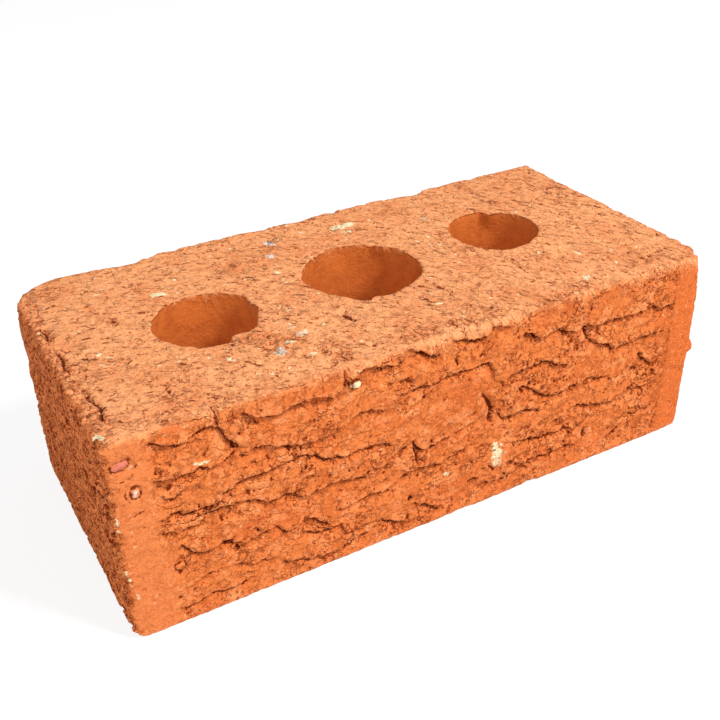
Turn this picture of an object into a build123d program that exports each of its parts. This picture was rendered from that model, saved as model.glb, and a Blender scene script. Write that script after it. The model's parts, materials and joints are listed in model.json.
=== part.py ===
from build123d import *
import os

# A clay facing brick: a column of clay extruded through three core pins, torn along both long
# faces as it left the die, and cut to height by wire. Millimetres, +Z up. The origin is the
# centre of the bed that it lies on, +X runs along the length, and the face that shows looks
# along -Y.

# Overall size, between the smooth margins of the faces
LENGTH = 222.0
WIDTH = 106.0
HEIGHT = 73.0

# Roundings of the four upright arrises, slumped most at the back left
FRONT_LEFT_RADIUS = 4.0
FRONT_RIGHT_RADIUS = 6.0
BACK_LEFT_RADIUS = 11.0
BACK_RIGHT_RADIUS = 2.5

# Wear of the edges of the two ends, seen from the front
FOOT_LEFT_RADIUS = 6.0
FOOT_RIGHT_RADIUS = 5.0
HEAD_LEFT_RADIUS = 3.0
HEAD_RIGHT_RADIUS = 1.5

# Wear of the long edges of both beds
BED_EDGE_RADIUS = 1.0

# Cores, straight through from bed to bed: how far each lies along and across the brick, and its
# radius. The pins stood a little askew in the die, so the three don't line up.
LEFT_CORE_ALONG = -60.0
LEFT_CORE_ACROSS = -2.5
LEFT_CORE_RADIUS = 17.4
MIDDLE_CORE_ALONG = 0.0
MIDDLE_CORE_ACROSS = 1.3
MIDDLE_CORE_RADIUS = 21.2
RIGHT_CORE_ALONG = 59.0
RIGHT_CORE_ACROSS = 5.5
RIGHT_CORE_RADIUS = 16.7

# Torn fields of the long faces: the smooth margins beside them, and how far a whole field stands
# in from its margins
MARGIN_LEFT = 12.0
MARGIN_RIGHT = 13.0
FIELD_DEPTH = 0.4

# Tears: how far the clay is torn in under the lip above it, the length over which a tear fades
# out past both ends of its lip, and how deep it still is there
TEAR_DEPTH = 2.2
FADE_LENGTH = 3.0
FADE_DEPTH = 0.3
# The cutting tools start this far outside the face that they cut
OVERRUN = 4.0

# Tears on the front, those at the left first. Each row has the tear's depth as a share of the
# tear depth, how far it reaches down from its lip as a share of the height, and the line of the
# lip, as shares of the torn field's length, from its left end, and of the height.
FRONT_TEAR_SHARES = (
    (0.8, 0.08, ((0.01, 0.94), (0.05, 0.90), (0.10, 0.93), (0.12, 0.87), (0.15, 0.79))),
    (1.1, 0.09, ((0.15, 0.94), (0.18, 0.89), (0.25, 0.91), (0.30, 0.87), (0.35, 0.96),
                 (0.42, 0.93))),
    (0.8, 0.08, ((0.01, 0.77), (0.05, 0.74), (0.10, 0.74), (0.14, 0.78))),
    (1.0, 0.08, ((0.14, 0.76), (0.18, 0.76), (0.23, 0.70), (0.29, 0.70), (0.35, 0.76),
                 (0.40, 0.73))),
    (0.7, 0.06, ((0.40, 0.76), (0.45, 0.78), (0.52, 0.80), (0.58, 0.79), (0.60, 0.72))),
    (0.5, 0.05, ((0.01, 0.69), (0.04, 0.65), (0.08, 0.68))),
    (0.7, 0.06, ((0.01, 0.58), (0.09, 0.55), (0.12, 0.60), (0.17, 0.63), (0.25, 0.64),
                 (0.28, 0.58), (0.37, 0.56), (0.40, 0.54))),
    (0.8, 0.07, ((0.01, 0.51), (0.06, 0.48), (0.11, 0.52), (0.16, 0.49), (0.23, 0.45),
                 (0.25, 0.41), (0.31, 0.44), (0.36, 0.39))),
    (0.8, 0.06, ((0.35, 0.43), (0.38, 0.43), (0.42, 0.49), (0.44, 0.52))),
    (0.7, 0.06, ((0.03, 0.39), (0.06, 0.34), (0.11, 0.33), (0.18, 0.32), (0.21, 0.27),
                 (0.25, 0.28), (0.28, 0.22))),
    (1.0, 0.07, ((0.30, 0.28), (0.36, 0.31), (0.44, 0.34), (0.50, 0.32), (0.54, 0.36),
                 (0.58, 0.40))),
    (0.6, 0.05, ((0.23, 0.23), (0.27, 0.19), (0.30, 0.19), (0.33, 0.12))),
    (0.5, 0.04, ((0.01, 0.09), (0.07, 0.09), (0.14, 0.10))),
    (0.6, 0.04, ((0.19, 0.12), (0.25, 0.07), (0.31, 0.06), (0.38, 0.14), (0.43, 0.06))),
    (1.0, 0.06, ((0.44, 0.52), (0.46, 0.45), (0.50, 0.46), (0.58, 0.52))),
    (0.8, 0.05, ((0.45, 0.96), (0.47, 0.93), (0.49, 0.91))),
    (0.8, 0.06, ((0.51, 0.97), (0.55, 0.92), (0.57, 0.92), (0.59, 0.96), (0.63, 0.95))),
    (1.1, 0.08, ((0.65, 0.89), (0.69, 0.83), (0.73, 0.86), (0.77, 0.80), (0.85, 0.80),
                 (0.91, 0.78), (0.94, 0.81), (0.99, 0.78))),
    (1.0, 0.07, ((0.79, 0.81), (0.81, 0.73), (0.84, 0.68), (0.88, 0.63), (0.97, 0.64))),
    (0.9, 0.07, ((0.61, 0.67), (0.70, 0.70), (0.76, 0.64))),
    (0.8, 0.05, ((0.65, 0.60), (0.70, 0.55), (0.73, 0.48), (0.79, 0.49), (0.86, 0.49))),
    (0.7, 0.06, ((0.92, 0.57), (0.94, 0.51), (0.97, 0.46))),
    (0.9, 0.07, ((0.74, 0.34), (0.79, 0.37), (0.86, 0.31), (0.91, 0.36), (0.99, 0.35))),
    (0.8, 0.06, ((0.61, 0.51), (0.64, 0.45), (0.71, 0.42))),
    (0.7, 0.06, ((0.67, 0.27), (0.77, 0.25), (0.81, 0.23))),
    (0.6, 0.05, ((0.91, 0.21), (0.97, 0.20))),
    (0.7, 0.05, ((0.65, 0.16), (0.72, 0.14), (0.80, 0.14))),
    (0.6, 0.05, ((0.58, 0.12), (0.63, 0.10), (0.68, 0.12))),
)

# Tears on the back, in the same terms, from the left end of its field as one faces it
BACK_TEAR_SHARES = (
    (0.7, 0.08, ((0.02, 0.93), (0.12, 0.90), (0.22, 0.92), (0.31, 0.88))),
    (0.6, 0.07, ((0.36, 0.94), (0.47, 0.91), (0.58, 0.94), (0.66, 0.90))),
    (0.8, 0.08, ((0.62, 0.86), (0.74, 0.90), (0.86, 0.87), (0.97, 0.90))),
    (0.6, 0.07, ((0.10, 0.79), (0.24, 0.76), (0.38, 0.80), (0.50, 0.77))),
    (0.9, 0.08, ((0.46, 0.73), (0.58, 0.76), (0.70, 0.72), (0.82, 0.75))),
    (0.7, 0.07, ((0.02, 0.67), (0.14, 0.64), (0.27, 0.68))),
    (0.8, 0.08, ((0.30, 0.64), (0.42, 0.60), (0.55, 0.63), (0.64, 0.59))),
    (0.6, 0.07, ((0.68, 0.63), (0.79, 0.60), (0.90, 0.64), (0.98, 0.61))),
    (0.9, 0.08, ((0.03, 0.52), (0.16, 0.55), (0.28, 0.50), (0.39, 0.53))),
    (0.8, 0.07, ((0.44, 0.48), (0.57, 0.51), (0.71, 0.47), (0.84, 0.50), (0.96, 0.47))),
    (0.6, 0.07, ((0.05, 0.40), (0.18, 0.37), (0.33, 0.41))),
    (0.9, 0.08, ((0.30, 0.35), (0.45, 0.38), (0.58, 0.34), (0.70, 0.37))),
    (0.7, 0.07, ((0.66, 0.30), (0.80, 0.33), (0.95, 0.29))),
    (0.7, 0.07, ((0.03, 0.27), (0.15, 0.24), (0.29, 0.27), (0.41, 0.23))),
    (0.7, 0.07, ((0.46, 0.25), (0.60, 0.22), (0.72, 0.25))),
    (0.6, 0.06, ((0.10, 0.13), (0.25, 0.16), (0.40, 0.12))),
    (0.7, 0.06, ((0.44, 0.15), (0.58, 0.11), (0.70, 0.14))),
    (0.6, 0.06, ((0.76, 0.20), (0.87, 0.17), (0.97, 0.20))),
)


def tear_section(face_plane, along, lip, reach, depth):
    """The wedge torn out under a lip, across the face at one place along it.

    The wedge is level under the lip and slopes back out to the face at its foot. Its outer
    corners lie outside the face, on the same two lines.
    """
    outward = face_plane.z_dir
    origin = face_plane.origin + face_plane.x_dir * along
    section_plane = Plane(origin=origin, x_dir=outward, z_dir=outward.cross(face_plane.y_dir))
    inner = -FIELD_DEPTH - depth
    foot = lip - reach * (OVERRUN - inner) / depth
    with BuildSketch(section_plane) as section:
        with BuildLine():
            Polyline((OVERRUN, lip), (inner, lip), (OVERRUN, foot), close=True)
        make_face()
    return section.sketch


def torn_field(face_plane, start, end, tear_shares):
    """The sections of every tear between two places along a face, as a list of lists."""
    tears = []
    for depth_share, reach_share, line_shares in tear_shares:
        depth = TEAR_DEPTH * depth_share
        reach = HEIGHT * reach_share
        line = [(start + (end - start) * along, HEIGHT * lip) for along, lip in line_shares]
        rows = [(along, lip, reach, depth) for along, lip in line]
        fade_reach = reach * FADE_DEPTH / depth
        first, last = line[0], line[-1]
        rows.insert(0, (first[0] - FADE_LENGTH, first[1], fade_reach, FADE_DEPTH))
        rows.append((last[0] + FADE_LENGTH, last[1], fade_reach, FADE_DEPTH))
        tears.append([tear_section(face_plane, *row) for row in rows])
    return tears


# The two long faces, seen from outside, each with its origin at the middle of its foot
front_face = Plane(origin=(0, -WIDTH / 2, 0), x_dir=(1, 0, 0), z_dir=(0, -1, 0))
back_face = Plane(origin=(0, WIDTH / 2, 0), x_dir=(-1, 0, 0), z_dir=(0, 1, 0))

front_start = -LENGTH / 2 + MARGIN_LEFT
front_end = LENGTH / 2 - MARGIN_RIGHT
front_tears = torn_field(front_face, front_start, front_end, FRONT_TEAR_SHARES)

back_start = -LENGTH / 2 + MARGIN_RIGHT
back_end = LENGTH / 2 - max(MARGIN_LEFT, BACK_LEFT_RADIUS)
back_tears = torn_field(back_face, back_start, back_end, BACK_TEAR_SHARES)

with BuildPart() as clay_brick:
    # The extruded column, in plan
    with BuildSketch(Plane.XY) as plan:
        with BuildLine():
            left, right = -LENGTH / 2, LENGTH / 2
            front, back = -WIDTH / 2, WIDTH / 2
            FilletPolyline(
                (left, front),
                (right, front),
                (right, back),
                (left, back),
                radius=[
                    FRONT_LEFT_RADIUS,
                    FRONT_RIGHT_RADIUS,
                    BACK_RIGHT_RADIUS,
                    BACK_LEFT_RADIUS,
                ],
                close=True,
            )
        make_face()
    extrude(amount=HEIGHT)

    # Its outline from the front, with the ends worn at head and foot
    with BuildSketch(Plane.XZ) as elevation:
        with BuildLine():
            FilletPolyline(
                (left, 0),
                (right, 0),
                (right, HEIGHT),
                (left, HEIGHT),
                radius=[
                    FOOT_LEFT_RADIUS,
                    FOOT_RIGHT_RADIUS,
                    HEAD_RIGHT_RADIUS,
                    HEAD_LEFT_RADIUS,
                ],
                close=True,
            )
        make_face()
    extrude(amount=WIDTH, both=True, mode=Mode.INTERSECT)

    # Its outline from the end, with the long edges of both beds worn
    with BuildSketch(Plane.YZ) as end_view:
        with Locations((0, HEIGHT / 2)):
            RectangleRounded(WIDTH, HEIGHT, BED_EDGE_RADIUS)
    extrude(amount=LENGTH, both=True, mode=Mode.INTERSECT)

    # The torn fields of both long faces, a little in from their margins
    for face_plane, start, end in (
        (front_face, front_start, front_end),
        (back_face, back_start, back_end),
    ):
        with BuildSketch(face_plane):
            with Locations(((start + end) / 2, HEIGHT / 2)):
                Rectangle(end - start, HEIGHT + 2 * OVERRUN)
        extrude(amount=-FIELD_DEPTH, mode=Mode.SUBTRACT)

    # The tears in them, one under each lip
    for sections in front_tears + back_tears:
        loft(sections, ruled=True, mode=Mode.SUBTRACT)

    # The cores
    with Locations(Plane.XY.offset(HEIGHT)):
        with Locations((LEFT_CORE_ALONG, LEFT_CORE_ACROSS)):
            Hole(LEFT_CORE_RADIUS)
        with Locations((MIDDLE_CORE_ALONG, MIDDLE_CORE_ACROSS)):
            Hole(MIDDLE_CORE_RADIUS)
        with Locations((RIGHT_CORE_ALONG, RIGHT_CORE_ACROSS)):
            Hole(RIGHT_CORE_RADIUS)

clay_brick.part.label = "clay_brick"
os.makedirs("parts", exist_ok=True)
export_step(clay_brick.part, "parts/clay_brick.step")

volume_litres = clay_brick.part.volume / 1e6
print(f"clay_brick: {volume_litres:.3f} litres, {len(clay_brick.part.faces())} faces")
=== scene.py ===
import json
import math

import bmesh
import bpy
import numpy as np
from mathutils import Matrix, Vector


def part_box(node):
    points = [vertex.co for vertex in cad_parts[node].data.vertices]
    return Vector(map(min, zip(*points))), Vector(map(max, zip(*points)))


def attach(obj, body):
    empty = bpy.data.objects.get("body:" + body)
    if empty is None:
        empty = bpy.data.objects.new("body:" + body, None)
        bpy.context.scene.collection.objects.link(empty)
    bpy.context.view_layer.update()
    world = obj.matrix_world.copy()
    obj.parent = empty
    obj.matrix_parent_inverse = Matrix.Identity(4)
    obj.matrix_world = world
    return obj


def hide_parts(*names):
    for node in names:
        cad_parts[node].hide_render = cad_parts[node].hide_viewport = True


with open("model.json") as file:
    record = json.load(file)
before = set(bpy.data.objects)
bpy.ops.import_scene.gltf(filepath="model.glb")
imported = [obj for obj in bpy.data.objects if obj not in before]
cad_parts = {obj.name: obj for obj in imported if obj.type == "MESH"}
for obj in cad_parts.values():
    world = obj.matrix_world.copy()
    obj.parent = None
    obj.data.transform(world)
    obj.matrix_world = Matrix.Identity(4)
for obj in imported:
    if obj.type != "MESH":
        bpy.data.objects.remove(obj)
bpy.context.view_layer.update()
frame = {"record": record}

# The brick's skin is carved as a solid field on a lattice, in millimetres, and turned into one
# closed mesh. Each face of the brick has a sheet of relief, how deep the clay is torn, dragged
# or chipped in at each place, and sheets of colour that the material reads. All relief goes
# inwards, so the brick stays inside the box of the CAD model.

MM = 0.001
NODE = "clay_brick"

# The frame's box of the brick, in millimetres
BOX_LOW, BOX_HIGH = (Vector(corner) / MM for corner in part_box(NODE))
LEFT, FRONT, BED = BOX_LOW
RIGHT, BACK, HEAD = BOX_HIGH

# The lattice on which the brick is carved, and the triangles that the mesh keeps on the sides
# that the photograph shows and on the others
STEP = 0.5
LATTICE_MARGIN = 3
UNTANGLE_ROUNDS = 8
SHOWN_TRIANGLES = 122_000
HIDDEN_TRIANGLES = 72_000

# How far the edges are rounded: upright arrises, then the edges of the beds and the rims of the
# cores. A blend of the smooth maximum is this many times the radius that it rounds to.
BLEND_PER_RADIUS = 1.17
FRONT_LEFT_RADIUS = 2.5
FRONT_RIGHT_RADIUS = 4.5
BACK_LEFT_RADIUS = 10.0
BACK_RIGHT_RADIUS = 2.0
FOOT_LEFT_RADIUS = 4.0
FOOT_RIGHT_RADIUS = 4.0
HEAD_LEFT_RADIUS = 1.2
HEAD_RIGHT_RADIUS = 0.5
LONG_EDGE_RADIUS = 0.7
RIM_RADIUS = 0.35

# The torn field of the front, between its smooth margins
FIELD_LEFT = -99.0
FIELD_RIGHT = 97.5
# Under a lip the clay leans back as it goes in, by this much for each millimetre
UNDERCUT = 0.3
UNDERCUT_DEPTH = 6.0

# The gap of a place that is near no lip
NO_LIP = 9.0
# How many short cracks are tried on each kind of face, and nicks on each bed
FRONT_CRACKS = 900
BACK_CRACKS = 500
END_CRACKS = 700
BED_NICKS = 420
# The drag of the wire across a bed, in degrees, at the left end, the middle and the right end
DRAG_TURNS = (-32, -52, -70)
# How dull the smooth margins are, and how deep the pits of the front and of the upper bed
MARGIN_DULL = 0.9
FRONT_PIT_DEPTH = 1.8
BED_PIT_DEPTH = 1.3
# Over what length a torn lip dies out at its ends, and how far its curl stands proud
LIP_END = 3.0
LIP_CURL = 0.35


def clamp(value, low=0.0, high=1.0):
    return np.clip(value, low, high)


def smooth_step(low, high, value):
    """0 below low, 1 above high and a smooth rise between."""
    share = clamp((value - low) / (high - low))
    return share * share * (3 - 2 * share)


def hump(value, width):
    """1 where a value is 0, and near 0 beyond the width."""
    return np.exp(-((value / width) ** 2))


def noise(u, v, cell, seed):
    """Smooth seeded noise, mostly from -1 to 1, that changes over about one cell."""
    tile, gain = 64, 1.6
    turn = np.random.default_rng(seed).uniform(0, 2 * np.pi, (tile, tile))
    east, north = np.cos(turn), np.sin(turn)
    u, v = np.broadcast_arrays(u / cell, v / cell)
    column, row = np.floor(u).astype(int), np.floor(v).astype(int)
    along, up = u - column, v - row
    total = np.zeros(u.shape)
    for right in (0, 1):
        for above in (0, 1):
            i, j = (column + right) % tile, (row + above) % tile
            ramp = east[i, j] * (along - right) + north[i, j] * (up - above)
            near_u, near_v = 1 - np.abs(along - right), 1 - np.abs(up - above)
            weight = near_u * near_u * (3 - 2 * near_u) * near_v * near_v * (3 - 2 * near_v)
            total += ramp * weight
    return gain * total


def wander(places, cell, seed):
    """Noise along a line."""
    return noise(places, 0 * places, cell, seed)


def layered(u, v, cell, seed, layers=4):
    """Several layers of noise, each half the size of the last."""
    return sum(0.5**layer * noise(u, v, cell / 2**layer, seed + layer) for layer in range(layers))


def creased(u, v, cell, seed):
    """Lumps with sharp creases between them, where the value is near 0."""
    total = np.abs(noise(u, v, cell, seed)) + 0.5 * np.abs(noise(u, v, cell / 2, seed + 1))
    return total + 0.25 * np.abs(noise(u, v, cell / 4, seed + 2))


def plates(u, v, size, seed):
    """Irregular plates about one size across: a value from 0 to 1, the same all over each."""
    tile = 96
    rng = np.random.default_rng(seed)
    offset_u, offset_v, value = rng.uniform(0.08, 0.92, (3, tile, tile))
    a, b = np.broadcast_arrays(u / size, v / size)
    column, row = np.floor(a).astype(int), np.floor(b).astype(int)
    nearest = np.full(a.shape, 9.0)
    chosen = np.zeros(a.shape)
    for east in (-1, 0, 1):
        for north in (-1, 0, 1):
            i, j = (column + east) % tile, (row + north) % tile
            far = np.hypot(column + east + offset_u[i, j] - a, row + north + offset_v[i, j] - b)
            closer = far < nearest
            chosen = np.where(closer, value[i, j], chosen)
            nearest = np.where(closer, far, nearest)
    return chosen


def window(places, low, high):
    """The slice of places between low and high."""
    return slice(int(np.searchsorted(places, low)), int(np.searchsorted(places, high)) + 1)


def bent_line(start, size, turn, bend):
    """Three points of a line of this size, in two halves with a bend between them."""
    points = [start]
    for angle in (turn, turn + bend):
        along, up = points[-1]
        points.append((along + 0.5 * size * math.cos(angle), up + 0.5 * size * math.sin(angle)))
    return points


# Colour sheets of each face. dark is painted shade in grooves, cracks, pits, creases and hollows, and
# the darker tone of one stone; edge is how strong the painted shadow line under a torn lip is
COLOURS = ("dark", "pale", "grey", "pink", "dull", "crumb", "edge")


class Sheet:
    """One face of the brick: how deep each place is, and its colours from 0 to 1.

    Its gap is how far below the nearest torn lip a place lies, negative above the lip.
    """

    def __init__(self, u, v):
        self.u = u[:, None].astype(float)
        self.v = v[None, :].astype(float)
        shape = (len(u), len(v))
        for name in ("depth", "torn", *COLOURS):
            setattr(self, name, np.zeros(shape))
        self.gap = np.full(shape, NO_LIP)

    def near(self, points, reach):
        """The part of the face within reach of some points, as a pair of slices."""
        along, up = np.array(points, dtype=float).T
        return (
            window(self.u[:, 0], along.min() - reach, along.max() + reach),
            window(self.v[0, :], up.min() - reach, up.max() + reach),
        )

    def tint(self, part, shape, colours):
        """Brings colours up to their amounts over a shape in a part of the face."""
        for name, amount in colours.items():
            sheet = getattr(self, name)[part]
            np.maximum(sheet, amount * shape, out=sheet)

    def stroke(self, points, width, depth, taper=True, **colours):
        """A groove along a line, or a ridge if depth is negative, with its colours."""
        part = self.near(points, 2 * width)
        u, v = self.u[part[0]], self.v[:, part[1]]
        best = np.full((u.shape[0], v.shape[1]), np.inf)
        share = np.zeros(best.shape)
        count = max(len(points) - 1, 1)
        for number in range(count):
            start = points[number]
            end = points[min(number + 1, len(points) - 1)]
            run = (end[0] - start[0], end[1] - start[1])
            length = max(run[0] ** 2 + run[1] ** 2, 1e-9)
            along = clamp(((u - start[0]) * run[0] + (v - start[1]) * run[1]) / length)
            away = np.hypot(u - start[0] - along * run[0], v - start[1] - along * run[1])
            closer = away < best
            best = np.where(closer, away, best)
            share = np.where(closer, (number + along) / count, share)
        swell = np.sqrt(clamp(4 * share * (1 - share))) if taper and len(points) > 1 else 1
        shape = hump(best, 0.5 * width) * swell
        self.depth[part] += depth * shape
        self.tint(part, shape, colours)

    def ellipse(self, part, centre, size, turn):
        """1 on the rim of an ellipse turned by so many degrees, less inside it."""
        angle = math.radians(turn)
        east = self.u[part[0]] - centre[0]
        north = self.v[:, part[1]] - centre[1]
        along = east * math.cos(angle) + north * math.sin(angle)
        across = north * math.cos(angle) - east * math.sin(angle)
        return np.hypot(along / (0.5 * size[0]), across / (0.5 * size[1]))

    def dab(self, along, up, length, height, turn, **colours):
        """A ragged patch of colour in an ellipse."""
        part = self.near([(along, up)], max(length, height))
        shape = self.ellipse(part, (along, up), (length, height), turn)
        u, v = self.u[part[0]], self.v[:, part[1]]
        shape = smooth_step(1.25, 0.75, shape + 0.45 * layered(u, v, 2.0, 77, 2))
        self.tint(part, shape, colours)

    def stone(self, along, up, length, height, turn, colours):
        """A pebble bedded in the face, with a seam round it: a groove darkened as painted shade."""
        proud, seam_depth = 0.5, 0.9
        part = self.near([(along, up)], max(length, height) + 1)
        shape = self.ellipse(part, (along, up), (length, height), turn)
        dome = np.sqrt(clamp(1 - shape**2))
        seam = hump(shape - 1.15, 0.22)
        inside = smooth_step(1.05, 0.9, shape)
        sunk = self.depth[part] * (1 - 0.8 * inside)
        self.depth[part] = sunk - proud * dome + seam_depth * seam
        self.dark[part] = np.maximum(self.dark[part] * (1 - inside), 0.9 * seam)
        self.tint(part, inside, colours)

    def keep_whole(self, along, up, length, height, turn):
        """Eases the crumbling in an ellipse."""
        part = self.near([(along, up)], max(length, height))
        shape = self.ellipse(part, (along, up), (length, height), turn)
        self.crumb[part] *= 1 - 0.85 * smooth_step(1.2, 0.8, shape)

    def lip(self, points, depth, run, seed):
        """Clay torn in under a lip that runs through the points, and back out below it."""
        u, v = self.u, self.v
        along, height = np.array(points, dtype=float).T
        ragged = 0.7 * wander(u, 4.3, seed) + 0.45 * wander(u, 1.7, seed + 1)
        lip = np.interp(u, along, height) + ragged
        slope = np.gradient(blur(lip, 3.0)[:, 0], u[:, 0])[:, None]
        below = (lip - v) / np.sqrt(1 + slope**2)
        start, end = (u - along[0] + 1.0) / LIP_END, (along[-1] + 1.0 - u) / LIP_END
        ends = clamp(start) * clamp(end)
        swell = ends * (1 + 0.35 * wander(u, 9.0, seed + 2))
        wedge = depth * swell * clamp(1 - below / run) ** 1.9
        self.torn = np.maximum(self.torn, np.where(below > 0, wedge, 0))
        self.depth -= LIP_CURL * ends * hump(below + 1.2, 0.8)
        # How strong the painted shadow line below this lip is, kept as edge beside the gap
        strength = ends * clamp(0.75 + 0.6 * wander(u, 5.0, seed + 3))
        strength = strength * clamp(depth / 1.6)
        closer = (np.abs(below) < np.abs(self.gap)) & (strength > 0.1)
        self.gap = np.where(closer, below, self.gap)
        self.edge = np.where(closer, strength, self.edge)
        self.crumb = np.maximum(self.crumb, 0.9 * hump(below, 3.0) * strength)

    def read(self, name, u, v):
        """The value of one of the sheets at any place, between its lattice points."""
        sheet = getattr(self, name)
        i = clamp((u - self.u[0, 0]) / STEP, 0, sheet.shape[0] - 1.001)
        j = clamp((v - self.v[0, 0]) / STEP, 0, sheet.shape[1] - 1.001)
        column, row = i.astype(int), j.astype(int)
        a, b = i - column, j - row
        low = sheet[column, row] * (1 - a) + sheet[column + 1, row] * a
        high = sheet[column, row + 1] * (1 - a) + sheet[column + 1, row + 1] * a
        return low * (1 - b) + high * b


def blur(sheet, size):
    """A box blur, this many millimetres wide."""
    reach = max(int(round(size / STEP / 2)), 1)
    for axis in (0, 1):
        pad = [(0, 0), (0, 0)]
        pad[axis] = (reach + 1, reach)
        total = np.cumsum(np.pad(sheet, pad, mode="edge"), axis=axis)
        ahead = np.take(total, range(2 * reach + 1, total.shape[axis]), axis=axis)
        behind = np.take(total, range(0, total.shape[axis] - 2 * reach - 1), axis=axis)
        sheet = (ahead - behind) / (2 * reach + 1)
    return sheet


# Torn lips of the front, as (along the length, height) from the middle of its foot: how deep
# the clay is torn in below each, over what height it comes back out, and the lip's line
FRONT_LIPS = (
    (1.8, 8, ((-98, 69), (-93, 66.5), (-90, 65.3), (-86, 65.5), (-83, 67.3), (-79, 67.8),
        (-76, 65.5), (-75, 62), (-73, 60), (-70, 57.7))),
    (2.6, 10, ((-70, 69), (-66, 66), (-60, 64.5), (-55, 65), (-50, 66.3), (-45, 65.8),
        (-40, 63.3), (-35, 67), (-30, 70.3), (-26, 70), (-19, 67.8), (-16, 68.5))),
    (1.8, 9, ((-98, 56), (-95, 55), (-90, 54.2), (-82, 54.6), (-79, 53.5), (-76, 55), (-72, 57))),
    (2.2, 8, ((-72, 56), (-70, 54.3), (-64, 55.3), (-61, 53.7), (-57, 51.8), (-52, 50.8),
        (-47, 50.4), (-42, 51), (-35, 53.5), (-31, 55.5), (-27, 54.8), (-21, 53))),
    (1.6, 6, ((-21, 55), (-17, 57), (-10, 57.2), (-5, 57), (0, 58), (4, 58.5), (12, 57.5),
        (17, 57.8), (18.5, 55), (19.5, 52.5))),
    (1, 4, ((-97, 51), (-95, 48.2), (-92, 47.5), (-89, 49), (-83, 50))),
    (1.6, 5, ((-98, 42), (-94, 42.3), (-90, 40.7), (-82, 40), (-79, 40.2), (-78, 42.5), (-76, 44),
        (-69, 45.5), (-65, 46), (-56, 46.5), (-50, 46.5), (-47, 44.8), (-44, 42.3), (-37, 41),
        (-30, 41.2), (-26, 41), (-20, 39.3))),
    (1.8, 7, ((-98, 37), (-95, 36), (-91, 35), (-87, 35.2), (-84, 37.5), (-78, 38.3), (-72, 37.8),
        (-69, 37), (-67, 35.5), (-64, 34.2), (-57, 34), (-54, 33), (-52, 31), (-50, 30.2),
        (-48, 31.5), (-45, 32.3), (-37, 31.8), (-34, 30.5), (-29, 28.7))),
    (1.8, 6, ((-30, 31.5), (-25, 31.5), (-20, 34), (-16, 36), (-12, 38))),
    (1.6, 6, ((-94, 28), (-92, 29.3), (-88, 25), (-85, 24), (-78, 24.3), (-73, 22), (-66, 23),
        (-62, 23.5), (-60, 21.5), (-57, 19.5), (-52, 21.7), (-49, 20.5), (-43, 16))),
    (2.2, 7, ((-40, 20.3), (-36, 20.8), (-29, 22.3), (-24, 21.3), (-20, 22.5), (-16, 24.2),
        (-12, 25), (-6, 24.8), (-1, 23.5), (3, 25.2), (8, 26.5), (11, 28.5), (15, 29.5))),
    (1.2, 5, ((-90, 13.5), (-83, 15))),
    (1.2, 5, ((-77, 15), (-71, 13), (-67, 11.5), (-62, 11.5), (-61, 9))),
    (1.4, 6, ((-53, 17), (-50, 15.5), (-46, 14), (-39, 14), (-38, 11), (-34, 9))),
    (1.2, 4, ((-97, 6.5), (-92, 5.5), (-86, 6.7), (-80, 6), (-76, 5.8), (-71, 7.5))),
    (1.4, 4, ((-61, 8.5), (-55, 6.5), (-52, 5), (-48, 4.5), (-41, 4), (-38, 4.3), (-33, 6.5),
        (-28, 7.5), (-24, 10), (-22, 8), (-18, 5.5), (-14, 4))),
    (1.4, 5, ((-13, 12), (-10, 10), (-7, 9.5), (-4, 6.5), (-1, 5))),
    (2.2, 6, ((-12, 38), (-11, 34), (-9, 32.7), (-5, 32.5), (0, 33.7), (5, 34.8), (10, 35.8),
        (15, 37.7))),
    (1.8, 5, ((-15, 72.5), (-10, 70), (-5, 67), (-2, 66.5))),
    (1.8, 6, ((2, 70.5), (6, 69.5), (10, 67.5), (14, 67.5), (18, 70), (25, 69.5))),
    (1.2, 5, ((-22, 62), (-15, 61.5), (-11, 60))),
    (1, 3, ((0, 8.2), (5, 7.3))),
    (1.2, 4, ((9, 11.5), (12, 12), (16, 10.5))),
    (1.4, 5, ((16, 8.5), (20, 7.5), (26, 7.3), (33, 9), (37, 7))),
    (2.6, 9, ((30, 65), (33, 64.5), (36, 61), (38, 60.2), (45, 62.5), (47, 60.5), (50, 59),
        (53, 58.5), (57, 60), (60, 58.2), (65, 58.3), (70, 58.7), (75, 57.8), (80, 57.2),
        (85, 59), (88, 58.5), (91, 56.5), (97.5, 57))),
    (2.2, 7, ((57, 59), (58, 56), (60, 53), (63, 50.5), (66, 49.5), (69, 48.8), (71, 46.5),
        (75, 45.8), (79, 46), (82, 47), (88, 46.5), (93, 47))),
    (2, 7, ((21, 49), (38, 51), (41, 51), (45, 48), (50, 46.5))),
    (1.8, 5, ((30, 43.5), (36, 41.5), (38, 39), (41, 37), (45, 35), (50, 36), (53, 36.8),
        (57, 36), (60, 37.5), (66, 35.5), (70, 36))),
    (1.6, 6, ((82, 41.5), (85, 39), (87, 37), (90, 34.5), (92, 33.5))),
    (2, 7, ((46, 24.5), (50, 25), (57, 27.2), (60, 26), (65, 24.6), (68, 24), (71, 22.8),
        (75, 23), (80, 26.5), (84, 25.5), (90, 24.7), (95, 25.5))),
    (1.8, 6, ((21, 37), (24, 33.5), (28, 32.5), (33, 33.5), (40, 31), (43, 33))),
    (1.6, 6, ((33, 20), (46, 18.5), (52, 18.5), (60, 16.5))),
    (1.3, 5, ((80, 15), (85, 14), (89, 13.8), (92, 14.5))),
    (1.6, 5, ((30, 11.5), (33, 10.3), (44, 10), (50, 10.3), (59, 10))),
    (1.2, 4, ((72, 12), (75, 10))),
)

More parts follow.
